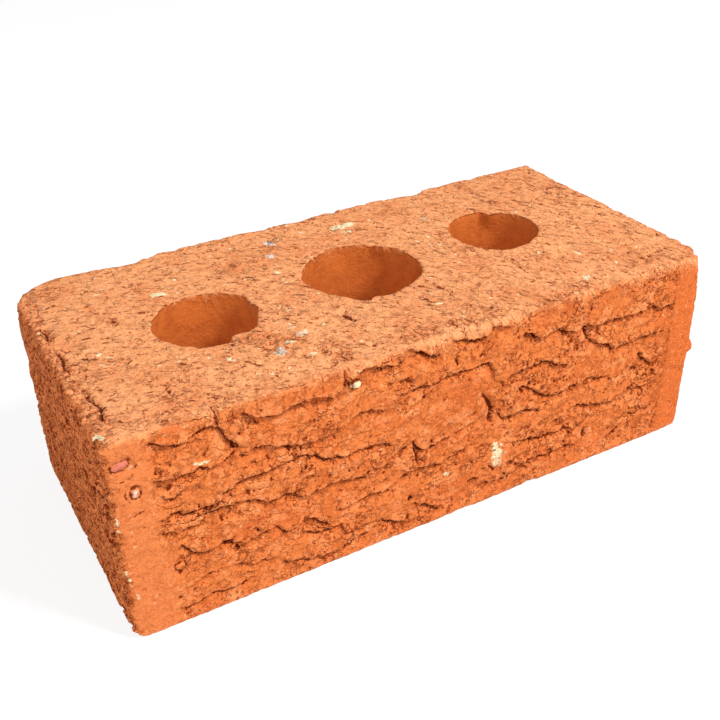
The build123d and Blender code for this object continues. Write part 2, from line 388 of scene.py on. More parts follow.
# Crevices of the front that run across the lips: width, depth and line
FRONT_CREVICES = (
    (2.2, 2.2, ((14, 47), (17, 43), (19, 39), (18, 35), (20, 32))),
    (1.2, 1.6, ((91, 32), (93, 27.5))), (1.2, 1.8, ((61, 15), (62, 10.5))),
    (1, 1.2, ((73, 8), (75, 4))), (1.2, 1.4, ((-12, 38), (-11, 32), (-10, 26))),
    (1.2, 1.8, ((-36, 73), (-36, 68))), (1.6, 1.6, ((57, 61), (58, 56))),
    (1, 1.2, ((-77.5, 73), (-77, 66))),
    (0.8, 0.6, ((-108.4, 60.4), (-106.1, 59.2), (-103.4, 60.1), (-101.1, 60.7))),
    (0.8, 0.6, ((-106.6, 63.1), (-103.2, 62.8), (-100.4, 64.2), (-99.1, 66.1))),
    (0.8, 0.6, ((-104.5, 56.7), (-106.2, 54.7), (-105.5, 52.2), (-103.1, 51.2))),
    (0.8, 0.5, ((-110, 51.8), (-107.5, 51.8), (-105.3, 50.6))),
    (0.8, 0.6, ((-106.3, 44.6), (-104.5, 46.6), (-102.2, 47.4), (-100.4, 47.9))),
    (0.8, 0.6, ((-106.9, 43.7), (-105.2, 41.7), (-102.6, 41.9), (-100.3, 40.5))),
    (0.8, 0.6, ((100.5, 27.5), (104, 28), (107, 26), (108.5, 22))),
    (0.8, 0.6, ((101, 14), (104, 12.5), (108, 13.5))),
    (0.8, 0.6, ((103, 9.5), (106, 10), (109, 8.5))),
)

# Pits of the front: place and width
FRONT_PITS = (
    (-78.5, 24, 2), (-75, 20.5, 2), (-79, 34, 1.6), (-76, 37, 1.6), (-50.5, 42.3, 1.6),
    (-52, 41, 1.4), (-42.5, 35.3, 1.4), (-93.5, 20, 1.4), (-90, 10.3, 1.6), (-95, 10, 1.4),
    (-51, 18, 1.6), (-13, 14.3, 2.2), (62, 13, 1.8), (36, 61, 2), (47, 61, 1.8), (57, 59, 2),
    (58, 56, 1.8), (-36, 67.5, 2.2), (-73, 58.5, 1.8),
)

# Lips of the back, from the left as one faces it: depth, run below the lip and line, the line
# as shares of the torn field's length and of the height
BACK_LIPS = (
    (1.5, 8, ((0.02, 0.93), (0.12, 0.9), (0.22, 0.92), (0.31, 0.88))),
    (1.3, 7, ((0.36, 0.94), (0.47, 0.91), (0.58, 0.94), (0.66, 0.9))),
    (1.8, 8, ((0.62, 0.86), (0.74, 0.9), (0.86, 0.87), (0.97, 0.9))),
    (1.3, 7, ((0.1, 0.79), (0.24, 0.76), (0.38, 0.8), (0.5, 0.77))),
    (2, 8, ((0.46, 0.73), (0.58, 0.76), (0.7, 0.72), (0.82, 0.75))),
    (1.5, 7, ((0.02, 0.67), (0.14, 0.64), (0.27, 0.68))),
    (1.8, 8, ((0.3, 0.64), (0.42, 0.6), (0.55, 0.63), (0.64, 0.59))),
    (1.3, 7, ((0.68, 0.63), (0.79, 0.6), (0.9, 0.64), (0.98, 0.61))),
    (2, 8, ((0.03, 0.52), (0.16, 0.55), (0.28, 0.5), (0.39, 0.53))),
    (1.8, 7, ((0.44, 0.48), (0.57, 0.51), (0.71, 0.47), (0.84, 0.5), (0.96, 0.47))),
    (1.3, 7, ((0.05, 0.4), (0.18, 0.37), (0.33, 0.41))),
    (2, 8, ((0.3, 0.35), (0.45, 0.38), (0.58, 0.34), (0.7, 0.37))),
    (1.5, 7, ((0.66, 0.3), (0.8, 0.33), (0.95, 0.29))),
    (1.5, 7, ((0.03, 0.27), (0.15, 0.24), (0.29, 0.27), (0.41, 0.23))),
    (1.5, 7, ((0.46, 0.25), (0.6, 0.22), (0.72, 0.25))),
    (1.3, 6, ((0.1, 0.13), (0.25, 0.16), (0.4, 0.12))),
    (1.5, 6, ((0.44, 0.15), (0.58, 0.11), (0.7, 0.14))),
    (1.3, 6, ((0.76, 0.2), (0.87, 0.17), (0.97, 0.2))),
)

# Stones of the front: place, size, turn in degrees, and their colour
FRONT_STONES = (
    (-106, 65, 5.2, 2.8, 15, {"pink": 1}), (-103, 54.5, 2.8, 4, 0, {"grey": 0.55, "dark": 0.35}),
    (-32.5, 66, 3.4, 2.6, 10, {"pale": 0.9}), (-93.5, 22.5, 3.2, 2.8, 0, {}),
    (-102, 15, 1.6, 1.2, 0, {"pale": 0.7}), (1, 19, 2.4, 1.6, 0, {"pale": 0.9}),
)

# Parts of the front where the clay is left whole: place, size and turn in degrees
FRONT_WHOLE = (
    (3, 45, 27, 21, 0), (-52, 70, 30, 6, 5), (-84, 60, 22, 7, 4), (-60, 60, 26, 6, 4),
    (-88, 45, 16, 7, 0), (-30, 61, 20, 8, 0), (-35, 47, 26, 6, 0), (-62, 40, 22, 6, 4),
    (50, 31, 26, 6, 0), (62, 42, 16, 6, 15), (80, 52, 16, 6, 10), (-66, 29, 22, 6, -10),
    (-20, 12, 12, 7, 0), (22, 17, 18, 8, 0),
)

# Pale and dirty spots of the front: place, size, turn, and how pale and how grey
FRONT_SPOTS = (
    (-83.5, 57, 8, 1.2, -10, 0.6, 0), (-109.3, 45, 1.6, 10, 0, 0.75, 0.6),
    (-109.5, 26, 0.9, 6, 8, 0.85, 0), (-107, 16.5, 0.9, 5, 10, 0.85, 0),
    (22, 19, 6, 11, 0, 0.55, 0), (101, 26, 2.6, 1.8, 0, 0.6, 0), (-86, 71, 3, 1.2, 0, 0.5, 0),
    (-92, 70, 2, 1.2, 0, 0.6, 0), (-15, 56, 3, 0.9, 0, 0, 0.5), (-66, 21, 9, 1.4, 0, 0, 0.35),
    (-55, 46, 9, 1.4, 0, 0, 0.25), (-20, 5, 9, 1.4, 20, 0, 0.3), (66, 47, 9, 1.4, -20, 0, 0.25),
)


def lattice(low, high):
    """Places STEP apart from a little below low to a little above high."""
    count = int(math.ceil((high - low) / STEP)) + 2 * LATTICE_MARGIN + 1
    return low + STEP * (np.arange(count) - LATTICE_MARGIN)


X = lattice(LEFT, RIGHT)
Y = lattice(FRONT, BACK)
Z = lattice(BED, HEAD)


def broken_ground(sheet, seed, lie=1.0):
    """Relief of broken clay, this many times as rough: swells, plates, and crumbs."""
    u, v = sheet.u, sheet.v
    bent_u = u + 1.6 * noise(u, v, 5.0, seed + 1)
    bent_v = v + 1.1 * noise(u, v, 4.0, seed + 2)
    swells = layered(u / 1.8, v, 9.0, seed + 3, 3)
    lift = plates(bent_u / 2.4, bent_v, 4.6, seed + 7)
    lumps = creased(bent_u / 1.3, bent_v, 3.4, seed + 8)
    fine = 0.5 * (creased(u, v, 1.7, seed + 15) - 0.45)
    sheet.depth += lie * (0.35 + 0.35 * swells + 0.45 * lift - fine)
    sheet.depth += 1.5 * lie * sheet.crumb * (0.45 - lumps)
    # Painted shade in the creases between lumps of crumbled clay
    creases = sheet.crumb * smooth_step(0.16, 0.04, lumps)
    sheet.dark = np.maximum(sheet.dark, 0.7 * creases)


def scatter_cracks(sheet, seed, count, turn=0.0, spread=0.7, deepest=1.3):
    """Short bent cracks, most of them where the clay has crumbled. They lie along a turn, give
    or take a spread, both in radians."""
    rng = np.random.default_rng(seed)
    low_u, high_u = sheet.u[0, 0] + 4, sheet.u[-1, 0] - 4
    low_v, high_v = sheet.v[0, 0] + 4, sheet.v[0, -1] - 4
    for _ in range(count):
        along, up = rng.uniform(low_u, high_u), rng.uniform(low_v, high_v)
        angle = turn + rng.normal(0, spread)
        size, bend = 0.4 + rng.gamma(1.6, 0.9), rng.normal(0, 0.5)
        width, depth, chance = rng.uniform(0.6, 1.3), rng.uniform(0.3, deepest), rng.uniform()
        column = int((along - sheet.u[0, 0]) / STEP)
        row = int((up - sheet.v[0, 0]) / STEP)
        if chance <= 0.25 + 0.75 * sheet.crumb[column, row]:
            points = bent_line((along, up), size, angle, bend)
            # Each crack is darkened as painted shade, the deeper ones more
            sheet.stroke(points, width, depth, dark=min(1.0, 0.35 + 0.5 * depth))


def crumble(sheet, amount):
    """Brings the crumbling of a face up to an amount."""
    sheet.crumb = np.maximum(sheet.crumb, clamp(amount))


def keep_margins(sheet, field, skin):
    """Leaves a long face even outside its torn field, with a slight relief of its own."""
    for name in ("depth", "crumb", "dark", "edge"):
        setattr(sheet, name, getattr(sheet, name) * field)
    sheet.depth += (1 - field) * skin
    sheet.dull[:] = MARGIN_DULL * (1 - field)


def front_sheet():
    """The face that shows, torn between two smooth margins."""
    sheet = Sheet(X, Z)
    u, v = sheet.u, sheet.v
    for number, (depth, run, line) in enumerate(FRONT_LIPS):
        sheet.lip(line, depth, run, 100 + 10 * number)
    patches = 0.3 + 0.75 * layered(u / 1.5, v, 13.0, 71, 2)
    crumble(sheet, patches + 0.25 * smooth_step(0, 50, u))
    for whole in FRONT_WHOLE:
        sheet.keep_whole(*whole)
    left = FIELD_LEFT + 3.0 * smooth_step(34, 24, v) + 0.8 * wander(v, 6.0, 5)
    right = FIELD_RIGHT + 0.6 * wander(v, 3.0, 6)
    field = smooth_step(left - 1.5, left + 3.0, u) * smooth_step(right + 0.5, right - 0.5, u)
    broken_ground(sheet, seed=40)
    sheet.depth += sheet.torn
    scatter_cracks(sheet, seed=44, count=FRONT_CRACKS)
    sheet.depth *= 0.15 + 0.85 * smooth_step(0, 5, v)
    keep_margins(sheet, field, 0.10 + 0.14 * layered(u, v, 6.0, 60, 4))
    # The groove at the right edge of the torn field, darkened as painted shade
    sheet.stroke(((FIELD_RIGHT, 72), (FIELD_RIGHT - 0.3, 5)), 0.9, 0.5, taper=False, dark=0.55)
    # Crevices and pits, darkened as painted shade
    for width, depth, line in FRONT_CREVICES:
        sheet.stroke(line, width, depth, dark=min(1.0, 0.35 + 0.45 * depth))
    for along, height, width in FRONT_PITS:
        sheet.stroke(((along, height),), width, FRONT_PIT_DEPTH, dark=1.0)
    for *spot, pale, grey in FRONT_SPOTS:
        sheet.dab(*spot, pale=pale, grey=grey)
    for stone in FRONT_STONES:
        sheet.stone(*stone)
    return sheet


def back_sheet():
    """The hidden long face, torn like the front."""
    sheet = Sheet(X, Z)
    u, v = sheet.u, sheet.v
    start, end = RIGHT - 13, LEFT + 12
    for number, (depth, run, shares) in enumerate(BACK_LIPS):
        line = [(start + (end - start) * along, BED + (HEAD - BED) * up) for along, up in shares]
        sheet.lip(line[::-1], depth, run, 400 + 10 * number)
    crumble(sheet, 0.3 + 0.7 * layered(u / 1.5, v, 13.0, 371, 2))
    field = smooth_step(LEFT + 9, LEFT + 13, u) * smooth_step(RIGHT - 11, RIGHT - 12, u)
    broken_ground(sheet, seed=340)
    sheet.depth += sheet.torn
    scatter_cracks(sheet, seed=344, count=BACK_CRACKS)
    keep_margins(sheet, field, 0.12 + 0.12 * layered(u, v, 9.0, 360, 3))
    return sheet


def end_sheet(seed):
    """A header: even, with a crumbled strip beside the front arris and a groove inside it."""
    sheet = Sheet(Y, Z)
    u, v = sheet.u, sheet.v
    away = u - FRONT + 4.0 * noise(u, v, 11.0, seed)
    strip = smooth_step(24, 10, away) * smooth_step(-2.0, 1.5, away)
    sheet.crumb = clamp(0.95 * strip + 0.3 + 0.55 * layered(u, v, 12.0, seed + 2, 2))
    broken_ground(sheet, seed + 10, lie=1.8)
    sheet.depth -= 0.6
    rim = FRONT + 4.0 + 0.8 * wander(v, 9.0, seed + 3)
    groove = hump(u - rim, 1.0) * clamp(0.6 + 0.8 * wander(v, 7.0, seed + 4))
    sheet.depth += 1.3 * groove
    # Painted shade in the groove
    sheet.dark = np.maximum(sheet.dark, 0.9 * groove)
    scatter_cracks(sheet, seed + 9, END_CRACKS, turn=1.3, spread=0.9, deepest=1.8)
    return sheet


# Marks that stand out on the upper bed: width, depth and line
BED_MARKS = (
    (1.6, 1, ((22, 34), (24.5, 30), (28, 26.5))),
    (2.4, 1.6, ((-20.5, -20), (-20, -24), (-18.5, -28.5))),
    (1.2, 1.1, ((15, -18), (17, -24), (19, -30))), (1, 0.9, ((6, -24), (8, -28), (10, -31.5))),
    (1, 1, ((-60, -32), (-55, -38))), (1, 0.8, ((-44, -36), (-40, -42))),
    (1.2, 0.8, ((-103, -4), (-98, -8))),
    (1.5, 1.8, ((-104, -45), (-105.5, -39), (-104.3, -33), (-106, -27), (-105, -20))),
    (1.4, 1.6, ((-106.3, -14), (-107.5, -8), (-106.5, -2), (-107.5, 4))),
    (1.2, 1.2, ((-108, 9), (-107, 15), (-108, 21))),
    (1.2, 1.2, ((-109.5, -36), (-107.5, -34.5), (-105.5, -35))),
    (1.2, 1.2, ((-110, -22), (-108, -23), (-106, -22))), (0.9, 1, ((-77.5, -48), (-77.5, -53))),
    (1, 0.9, ((-85, -33), (-85, -38))),
    (1.8, 1.1, ((101.5, 7), (104.5, 6), (107, 2.5), (108.5, -2))),
    (1, 0.9, ((98, 27), (100, 21))), (1, 0.7, ((84, 24), (87, 18))),
    (1, 0.9, ((102.5, -3), (102.8, -6.5))), (1, 0.8, ((53, 31), (56, 26.5))),
    (1.2, 1, ((5, -43), (7, -49))), (1, 1, ((-5.5, -44), (-3, -47.5))),
    (1.2, 1, ((-33.5, -43), (-32.5, -48.5))), (0.9, 0.8, ((49, -20), (48, -31))),
    (1, 0.9, ((102, -38), (102.5, -43.5))), (0.9, 0.9, ((81, -2), (81.5, -6))),
    (1, 1, ((45, -33), (46.5, -36))), (1.1, 1, ((107, 47), (106, 43))),
    (1.4, 1.4, ((109.5, -28), (107, -31.5))),
)

# Pits of the upper bed: place and width
BED_PITS = (
    (-86, 12.5, 2.4), (-85.5, 9.8, 2), (-84, -5.5, 1.8), (-91, 3.3, 1.6), (-88, -17, 1.4),
    (-104, 1.5, 2.2), (-59, -21, 2), (-47, -22, 1.8), (-43, 34, 1.2), (-36, 31.5, 1.6),
    (-18, 41, 1.8), (-22, 26, 1.6), (4.5, 28.8, 1.8), (9, -18.5, 1.6), (-21.5, -44, 2),
    (-12, -44, 1.6), (17, -29, 1.8), (28.5, -17, 1.2), (36.5, -18, 1.4), (31, 42.5, 1.6),
    (29, 17.5, 1.4), (38.5, 14, 1.4), (23, -43, 2.2), (42, -8.5, 1.6), (90, 41.3, 1.4),
    (96.5, 43, 1.8), (102, 27.5, 1.4), (96, 32, 1.2), (82, 33, 1.4), (86, -9.2, 1.6),
    (81.5, -17.3, 1.6), (76.5, -17.5, 1.6), (82, -21, 1.6), (63, -19, 1.4), (65.5, -30, 1.6),
    (69, -47, 1.4), (93.5, -41, 2.2), (88.5, -35, 1.8), (92.5, -30.5, 1.4), (50.5, -18, 2),
    (110, -4, 1.4), (-9, 19.8, 1.8), (-30.5, -24, 2), (-56.5, 42, 1.4), (-89.5, 36, 1.2),
)

# Spots of the upper bed: place, size, turn, and how pale and how grey
BED_SPOTS = (
    (-67.5, 21.8, 4.8, 3.2, -20, 1, 0), (-96, -5.5, 3.4, 2.2, -30, 0.7, 0),
    (-96.5, -14, 2.4, 1.8, 0, 0.6, 0), (-63, -29.5, 3.4, 2, -40, 0.8, 0),
    (-48, -33, 4.5, 5, 0, 0.4, 0.7), (-43, -29.5, 3.5, 2.5, 0, 0.8, 0),
    (-37, -26.5, 5, 3.4, -10, 0.5, 0.6), (-40, -39, 2.4, 2, 0, 0.8, 0),
    (-35, -10.8, 3.4, 1.2, 20, 0.6, 0), (-28.5, -8.5, 2.2, 2, 0, 0, 0.6),
    (-53, 27.5, 6.5, 1, -35, 0.6, 0), (-18.5, 39, 3.2, 6, 20, 0, 0.8),
    (-14.5, 39.5, 2.4, 1.6, 0, 0.7, 0), (-22.5, 28.5, 3.4, 3.2, 0, 0, 1),
    (-4, 42, 1.4, 3.4, -30, 0, 0.9), (12, 38, 9.5, 4, 0, 0.75, 0),
    (10.5, 32.5, 6.5, 4, 10, 0.55, 0), (8.5, 28.5, 4, 3, 0, 0.35, 0),
    (-26, 15.2, 2.4, 2.4, 0, 0.9, 0), (-37, 17, 4, 3.4, 0, 0.4, 0),
    (9.3, -32.2, 2.4, 2, 0, 0.9, 0), (6, -32.5, 3.4, 1.4, 0, 0.5, 0),
    (35, 4.8, 5, 2.8, 10, 0.45, 0), (35.5, -11, 3.4, 2.4, -30, 0.45, 0),
    (42, 27.5, 2, 7.5, 10, 0.5, 0), (44, 19.5, 1.8, 3.5, 10, 0.6, 0),
    (72.3, -26.5, 1.6, 4.2, 15, 0.8, 0), (63, -43, 2.6, 3.6, -10, 1, 0),
    (-108.9, -48, 3.2, 3, 0, 1.3, 0), (76, 15, 4, 4.5, 0, 0.45, 0),
    (-16.5, -49, 2.4, 1.6, 0, 0.6, 0), (32, -51.5, 4, 1.8, 0, 0.5, 0),
    (53, -50, 3, 1.6, 0, 0.5, 0),
)

# Crumbled patches of the upper bed: place, size, turn and how far crumbled
BED_CRUMBLED = (
    (-55, -21, 15, 7, -10, 0.9), (-46, -29, 16, 15, 0, 0.75), (-33, -41, 9, 15, 0, 0.9),
    (-38, -10, 8, 10, 0, 0.5), (-20, -23, 8, 10, 0, 0.5), (-6, -46, 16, 8, 0, 0.8),
    (16, -47, 22, 8, 0, 0.8), (50, -49, 30, 6, 0, 0.8), (-19, 36, 9, 12, 0, 0.8),
    (66, 12, 20, 7, 0, 0.4), (-98, -14, 16, 14, 0, 0.6), (10, -31, 12, 8, 0, 0.5),
    (36, 2, 12, 18, 0, 0.5), (12, 36, 14, 14, 0, 0.4), (90, -45, 24, 6, 0, 0.6),
    (-86, 11, 6, 6, 0, 0.7), (104, 4, 8, 10, 0, 0.4), (-97, -44, 26, 12, -20, 0.55),
    (-70, -48, 22, 7, 0, 0.6), (49, -20, 6, 22, 0, 0.5), (92, -38, 14, 8, 0, 0.5),
)

# How far the top of the back stands in from the box, along the length
BACK_SCALLOPS = (
    (-111, 6), (-102, 2.5), (-99, 1.2), (-93, 0.4), (-84, 1.1), (-78, 2.2), (-75, 2.4),
    (-72, 3.7), (-66, 4.2), (-63, 1.5), (-60, 1.3), (-57, 0.1), (-54, 0), (-51, 1.2), (-48, 0),
    (-36, 0), (-31, 0.3), (-27, 0), (-24, 0), (-18, 1.1), (-15, 2.1), (-12, 0.6), (-6, 0.7),
    (-3, 1.9), (0, 2.4), (3, 1.6), (6, 0.7), (12, 0), (15, 1.8), (18, 0), (36, 0), (39, 1.3),
    (45, 1.3), (48, 1.9), (51, 3.8), (54, 2.5), (57, 0.5), (61, 0), (66, 0.7), (69, 0), (78, 0),
    (81, 1.3), (84, 0.3), (87, 0), (93, 0.3), (102, 0.4), (105, 0), (111, 0),
)

# How far the clay is gone from the top of the front, down from the bed, along the length
FRONT_HEAD_CHIPS = (
    (-111, 0.4), (-96, 0.3), (-80, 0.8), (-72, 0.5), (-60, 0), (-40, 0), (-37, 2.6), (-35, 3.2),
    (-30, 2.2), (-22, 0.9), (-15, 0.3), (-9, 2.8), (-5, 4.6), (0, 3.2), (4, 2.2), (12, 4.2),
    (18, 2.4), (27, 2), (34, 0.6), (40, 0), (48, 0.3), (54, 2), (62, 0.5), (70, 0), (79, 2),
    (86, 3.6), (92, 2), (98, 2), (104, 2.4), (111, 2.6),
)

# How far the clay is gone from the foot of the front, up from the bed
FRONT_FOOT_CHIPS = (
    (-111, 1.6), (-108, 0.9), (-104, 0), (-98, 0.5), (-93, 0), (-62, 0), (-44, 0.3), (-38, 0.8),
    (-32, 0.3), (-26, 0.8), (-20, 0.4), (-14, 0.2), (-10, 0.6), (-2, 0), (1, 0.7), (7, 1.4),
    (10, 1.3), (13, 0.8), (16, 0), (22, 0), (28, 0.9), (34, 1.5), (37, 2.9), (40, 1.5), (43, 0.2),
    (60, 0), (67, 0.3), (73, 0), (97, 0), (100, 0.4), (111, 1.4),
)


def drag_turn(along):
    """The direction of the wire's drag across a bed, in radians: it fans along the length."""
    return np.radians(np.interp(along, (LEFT, 0, RIGHT), DRAG_TURNS))


def drag_ground(sheet, seed):
    """The dragged skin of a wire-cut bed: fine streaks along the drag, low swells and grit."""
    u, v = sheet.u, sheet.v
    turn = drag_turn(u + 0 * v)
    along = u * np.cos(turn) + v * np.sin(turn)
    across = v * np.cos(turn) - u * np.sin(turn)
    streaks = layered(along / 5.0, across, 1.6, seed, 2)
    swells = layered(u, v, 14.0, seed + 3, 3)
    pocked = clamp(layered(along / 2.0, across, 2.4, seed + 6, 3) - 0.35)
    return 0.18 + 0.1 * streaks + 0.12 * swells + 0.7 * pocked, pocked


def drag_nicks(sheet, seed):
    """Short nicks along the drag of the wire, each with a flap turned up beside it; each nick is
    darkened as painted shadow under its flap.
    """
    rng = np.random.default_rng(seed)
    for _ in range(BED_NICKS):
        start = (rng.uniform(LEFT + 1, RIGHT - 1), rng.uniform(FRONT + 1, BACK - 1))
        turn, bend = float(drag_turn(start[0])) + rng.normal(0, 0.16), rng.normal(0, 0.25)
        size = 1.0 + rng.gamma(1.7, 1.0)
        depth = rng.uniform(0.25, 1.0)
        points = bent_line(start, size, turn, bend)
        sheet.stroke(points, rng.uniform(0.8, 1.3), depth, dark=0.55 * depth)
        turn += bend
        flap = [(x + 0.7 * math.sin(turn), y - 0.7 * math.cos(turn)) for x, y in points]
        sheet.stroke(flap, 1.2, -0.3 * depth)


def bed_sheet(seed, marked):
    """A bed, cut by wire: short nicks along the drag, pits, and crumbled patches."""
    sheet = Sheet(X, Y)
    u, v = sheet.u, sheet.v
    band = LEFT + 5.5 + 2.0 * wander(v, 10.0, seed + 31)
    sheet.crumb = clamp(1.15 * smooth_step(band + 1.5, band - 1.0, u))
    crumble(sheet, 0.8 * layered(u, v, 16.0, seed + 33, 3) - 0.1)
    if marked:
        for *patch, amount in BED_CRUMBLED:
            sheet.dab(*patch, crumb=amount)
    ground, pocked = drag_ground(sheet, seed)
    lumps = creased(u, v, 3.2, seed + 43)
    sheet.depth += ground + 1.7 * sheet.crumb * (0.5 - lumps)
    creases = sheet.crumb * smooth_step(0.16, 0.04, lumps)
    # Painted shade in the pocks and in the creases between crumbs
    sheet.dark = np.maximum(clamp(0.4 * pocked), 0.65 * creases)
    drag_nicks(sheet, seed + 50)
    if marked:
        # Marks and pits are darkened as painted shade
        for width, depth, line in BED_MARKS:
            sheet.stroke(line, width, depth, dark=0.9)
        for along, across, width in BED_PITS:
            sheet.stroke(((along, across),), width, BED_PIT_DEPTH, dark=1.0)
        for *spot, pale, grey in BED_SPOTS:
            sheet.dab(*spot, pale=pale, grey=grey)
    return sheet


def worn_edges(sheet, seed):
    """Crumbles a face a little along its own edges."""
    u, v = sheet.u, sheet.v
    low_u, high_u = u[LATTICE_MARGIN, 0], u[-1 - LATTICE_MARGIN, 0]
    low_v, high_v = v[0, LATTICE_MARGIN], v[0, -1 - LATTICE_MARGIN]
    away = np.minimum(np.minimum(u - low_u, high_u - u), np.minimum(v - low_v, high_v - v))
    worn = clamp(0.25 + 0.9 * layered(u, v, 2.6, seed, 2))
    sheet.depth += 0.4 * worn * np.exp(-clamp(away, 0, 99) / 1.3)


def edge_chips(sheet, edge, table, reach, seed):
    """Lowers a bed near its long edge by a table of depths along the length."""
    along, depth = np.array(table, dtype=float).T
    gone = np.interp(sheet.u, along, depth) + 0.6 * wander(sheet.u, 4.0, seed)
    gone = clamp(gone + 0.4 * wander(sheet.u, 1.6, seed + 1), 0, 9)
    away = np.abs(sheet.v - edge)
    sheet.depth += gone * clamp(1 - away / (0.6 + reach * gone)) ** 1.2


class Core:
    """A core through the brick, and how its rims wander: outwards is positive."""

    def __init__(self, mount, seed, rim):
        self.centre = [mount["pos_m"][axis] / MM for axis in (0, 1)]
        self.radius = mount["dims"]["r_mm"]
        self.seed = seed
        self.rim = rim

    def field(self):
        """Positive inside the hole, on the lattice."""
        east = X[:, None] - self.centre[0]
        north = Y[None, :] - self.centre[1]
        far = np.hypot(east, north)
        turn = np.arctan2(north, east)
        ring = 18
        ring_u, ring_v = ring * np.cos(turn), ring * np.sin(turn)
        streaks = 0.05 * noise(ring_u, ring_v, 1.2, self.seed)
        streaks += 0.2 * noise(ring_u, ring_v, 7.0, self.seed + 1)
        degrees = np.degrees(turn) % 360
        angles, offsets = np.array(self.rim, dtype=float).T
        drawn = np.interp(degrees, angles, offsets, period=360)
        teeth = 0.5 * layered(ring_u, ring_v, 5.0, self.seed + 2, 4)
        ends = hump(HEAD - Z, 2.5) + hump(Z - BED, 2.0)
        radius = self.radius + streaks[:, :, None]
        radius = radius + drawn[:, :, None] * hump(HEAD - Z, 5.0) + teeth[:, :, None] * ends
        return (radius - far[:, :, None]).astype(np.float32)


def smooth_max(one, other, blend):
    """The larger of two fields, rounded where they meet."""
    near = np.maximum(blend - np.abs(one - other), 0)
    return np.maximum(one, other) + near * near / (4 * blend)


def leaning(depth, inwards):
    """The relief of a long face on the lattice, leaning back under its lips."""
    deep = np.repeat(depth[:, None, :], len(Y), axis=1)
    for number, distance in enumerate(inwards):
        if 0 < distance < UNDERCUT_DEPTH:
            rise = UNDERCUT * distance / STEP
            whole = int(rise)
            part = rise - whole
            rows = np.clip(np.arange(len(Z)) - whole, 1, None)
            deep[:, number] = depth[:, rows] * (1 - part) + depth[:, rows - 1] * part
    return (deep - inwards[None, :, None]).astype(np.float32)


def by_end(left, right):
    """Blends for the two ends, along the length."""
    radius = np.where(X < 0, left, right) * BLEND_PER_RADIUS
    return radius[:, None, None].astype(np.float32)


def body_field(sheets, cores):
    """The brick as a field: negative in the clay, positive outside it."""
    front = leaning(sheets["front"].depth, Y - FRONT)
    back = leaning(sheets["back"].depth, BACK - Y)
    left = LEFT + sheets["left"].depth[None, :, :] - X[:, None, None]
    right = X[:, None, None] - RIGHT + sheets["right"].depth[None, :, :]
    ends = np.maximum(left, right).astype(np.float32)
    head = (Z[None, None, :] - HEAD + sheets["head"].depth[:, :, None]).astype(np.float32)
    foot = (BED + sheets["foot"].depth[:, :, None] - Z[None, None, :]).astype(np.float32)
    edge = np.float32(LONG_EDGE_RADIUS * BLEND_PER_RADIUS)
    field = smooth_max(front, ends, by_end(FRONT_LEFT_RADIUS, FRONT_RIGHT_RADIUS))
    pairs = (
        (back, ends, by_end(BACK_LEFT_RADIUS, BACK_RIGHT_RADIUS)),
        (head, ends, by_end(HEAD_LEFT_RADIUS, HEAD_RIGHT_RADIUS)),
        (foot, ends, by_end(FOOT_LEFT_RADIUS, FOOT_RIGHT_RADIUS)),
        (front, head, edge),
        (front, foot, edge),
        (back, head, edge),
        (back, foot, edge),
    )
    for one, other, blend in pairs:
        np.maximum(field, smooth_max(one, other, blend), out=field)
    for core in cores:
        columns, rows = around(core.centre, core.radius + 8)
        part = field[columns, rows]
        field[columns, rows] = smooth_max(part, core.field()[columns, rows], np.float32(RIM_RADIUS))
    return field


def around(centre, reach):
    """The part of the lattice within reach of a place, as slices along each axis given."""
    pairs = zip((X, Y, Z), centre)
    return tuple(window(places, middle - reach, middle + reach) for places, middle in pairs)


# Crumbs of clay stuck to the brick: place, half size and seed
CRUMBS = (
    ((RIGHT - 1.9, FRONT + 2.0, 35.3), (2.1, 2.1, 2.6), 3),
    ((LEFT + 2.2, FRONT + 4.9, HEAD - 1.7), (2.0, 1.7, 1.6), 5),
)


def add_crumb(field, centre, size, seed):
    """Joins a crumb of clay to the brick."""
    columns, rows, layers = around(centre, max(size) + 2)
    east = (X[columns] - centre[0])[:, None, None] / size[0]
    north = (Y[rows] - centre[1])[None, :, None] / size[1]
    up = (Z[layers] - centre[2])[None, None, :] / size[2]
    far = np.sqrt(east**2 + north**2 + up**2)
    rough = 0.25 * noise(3 * east + 1.7 * up, 3 * north + 2.3 * up, 1.0, seed)
    crumb = (far - 1 + rough) * min(size)
    part = field[columns, rows, layers]
    np.minimum(part, crumb.astype(np.float32), out=part)


def untangle(field):
    """Fills a corner of every square of the lattice whose corners lie in and out of the clay
    like a chequerboard, so that each edge of the surface joins just two faces."""
    steps = np.eye(3, dtype=int)
    for _ in range(UNTANGLE_ROUNDS):
        for first, second in ((0, 1), (1, 2), (2, 0)):
            solid = field < 0
            beside, above = np.roll(solid, -1, axis=first), np.roll(solid, -1, axis=second)
            across = np.roll(beside, -1, axis=second)
            squares = np.argwhere((solid == across) & (beside == above) & (solid != beside))
            if len(squares) == 0:
                continue
            offsets = (0 * steps[0], steps[first], steps[second], steps[first] + steps[second])
            corners = squares[:, None] + np.array(offsets)
            values = field[tuple(corners.transpose(2, 0, 1))]
            nearest = np.where(values < 0, np.inf, values).argmin(axis=1)
            chosen = tuple(corners[np.arange(len(corners)), nearest].T)
            field[chosen] = -np.abs(field[chosen]) - np.float32(1e-4)


def crossing_means(field, cells):
    """The mean, for each cell of the lattice, of where the surface crosses the cell's edges."""
    total = np.zeros((len(cells), 3))
    crossings = np.zeros(len(cells))
    for axis in range(3):
        others = [other for other in range(3) if other != axis]
        for bits in np.ndindex(2, 2):
            start = cells.copy()
            start[:, others] += bits
            end = start.copy()
            end[:, axis] += 1
            low, high = field[tuple(start.T)], field[tuple(end.T)]
            crossed = (low < 0) != (high < 0)
            span = np.where(crossed, low - high, 1)
            place = start.astype(float)
            place[:, axis] += np.where(crossed, low / span, 0)
            total += np.where(crossed[:, None], place, 0)
            crossings += crossed
    return total / crossings[:, None]


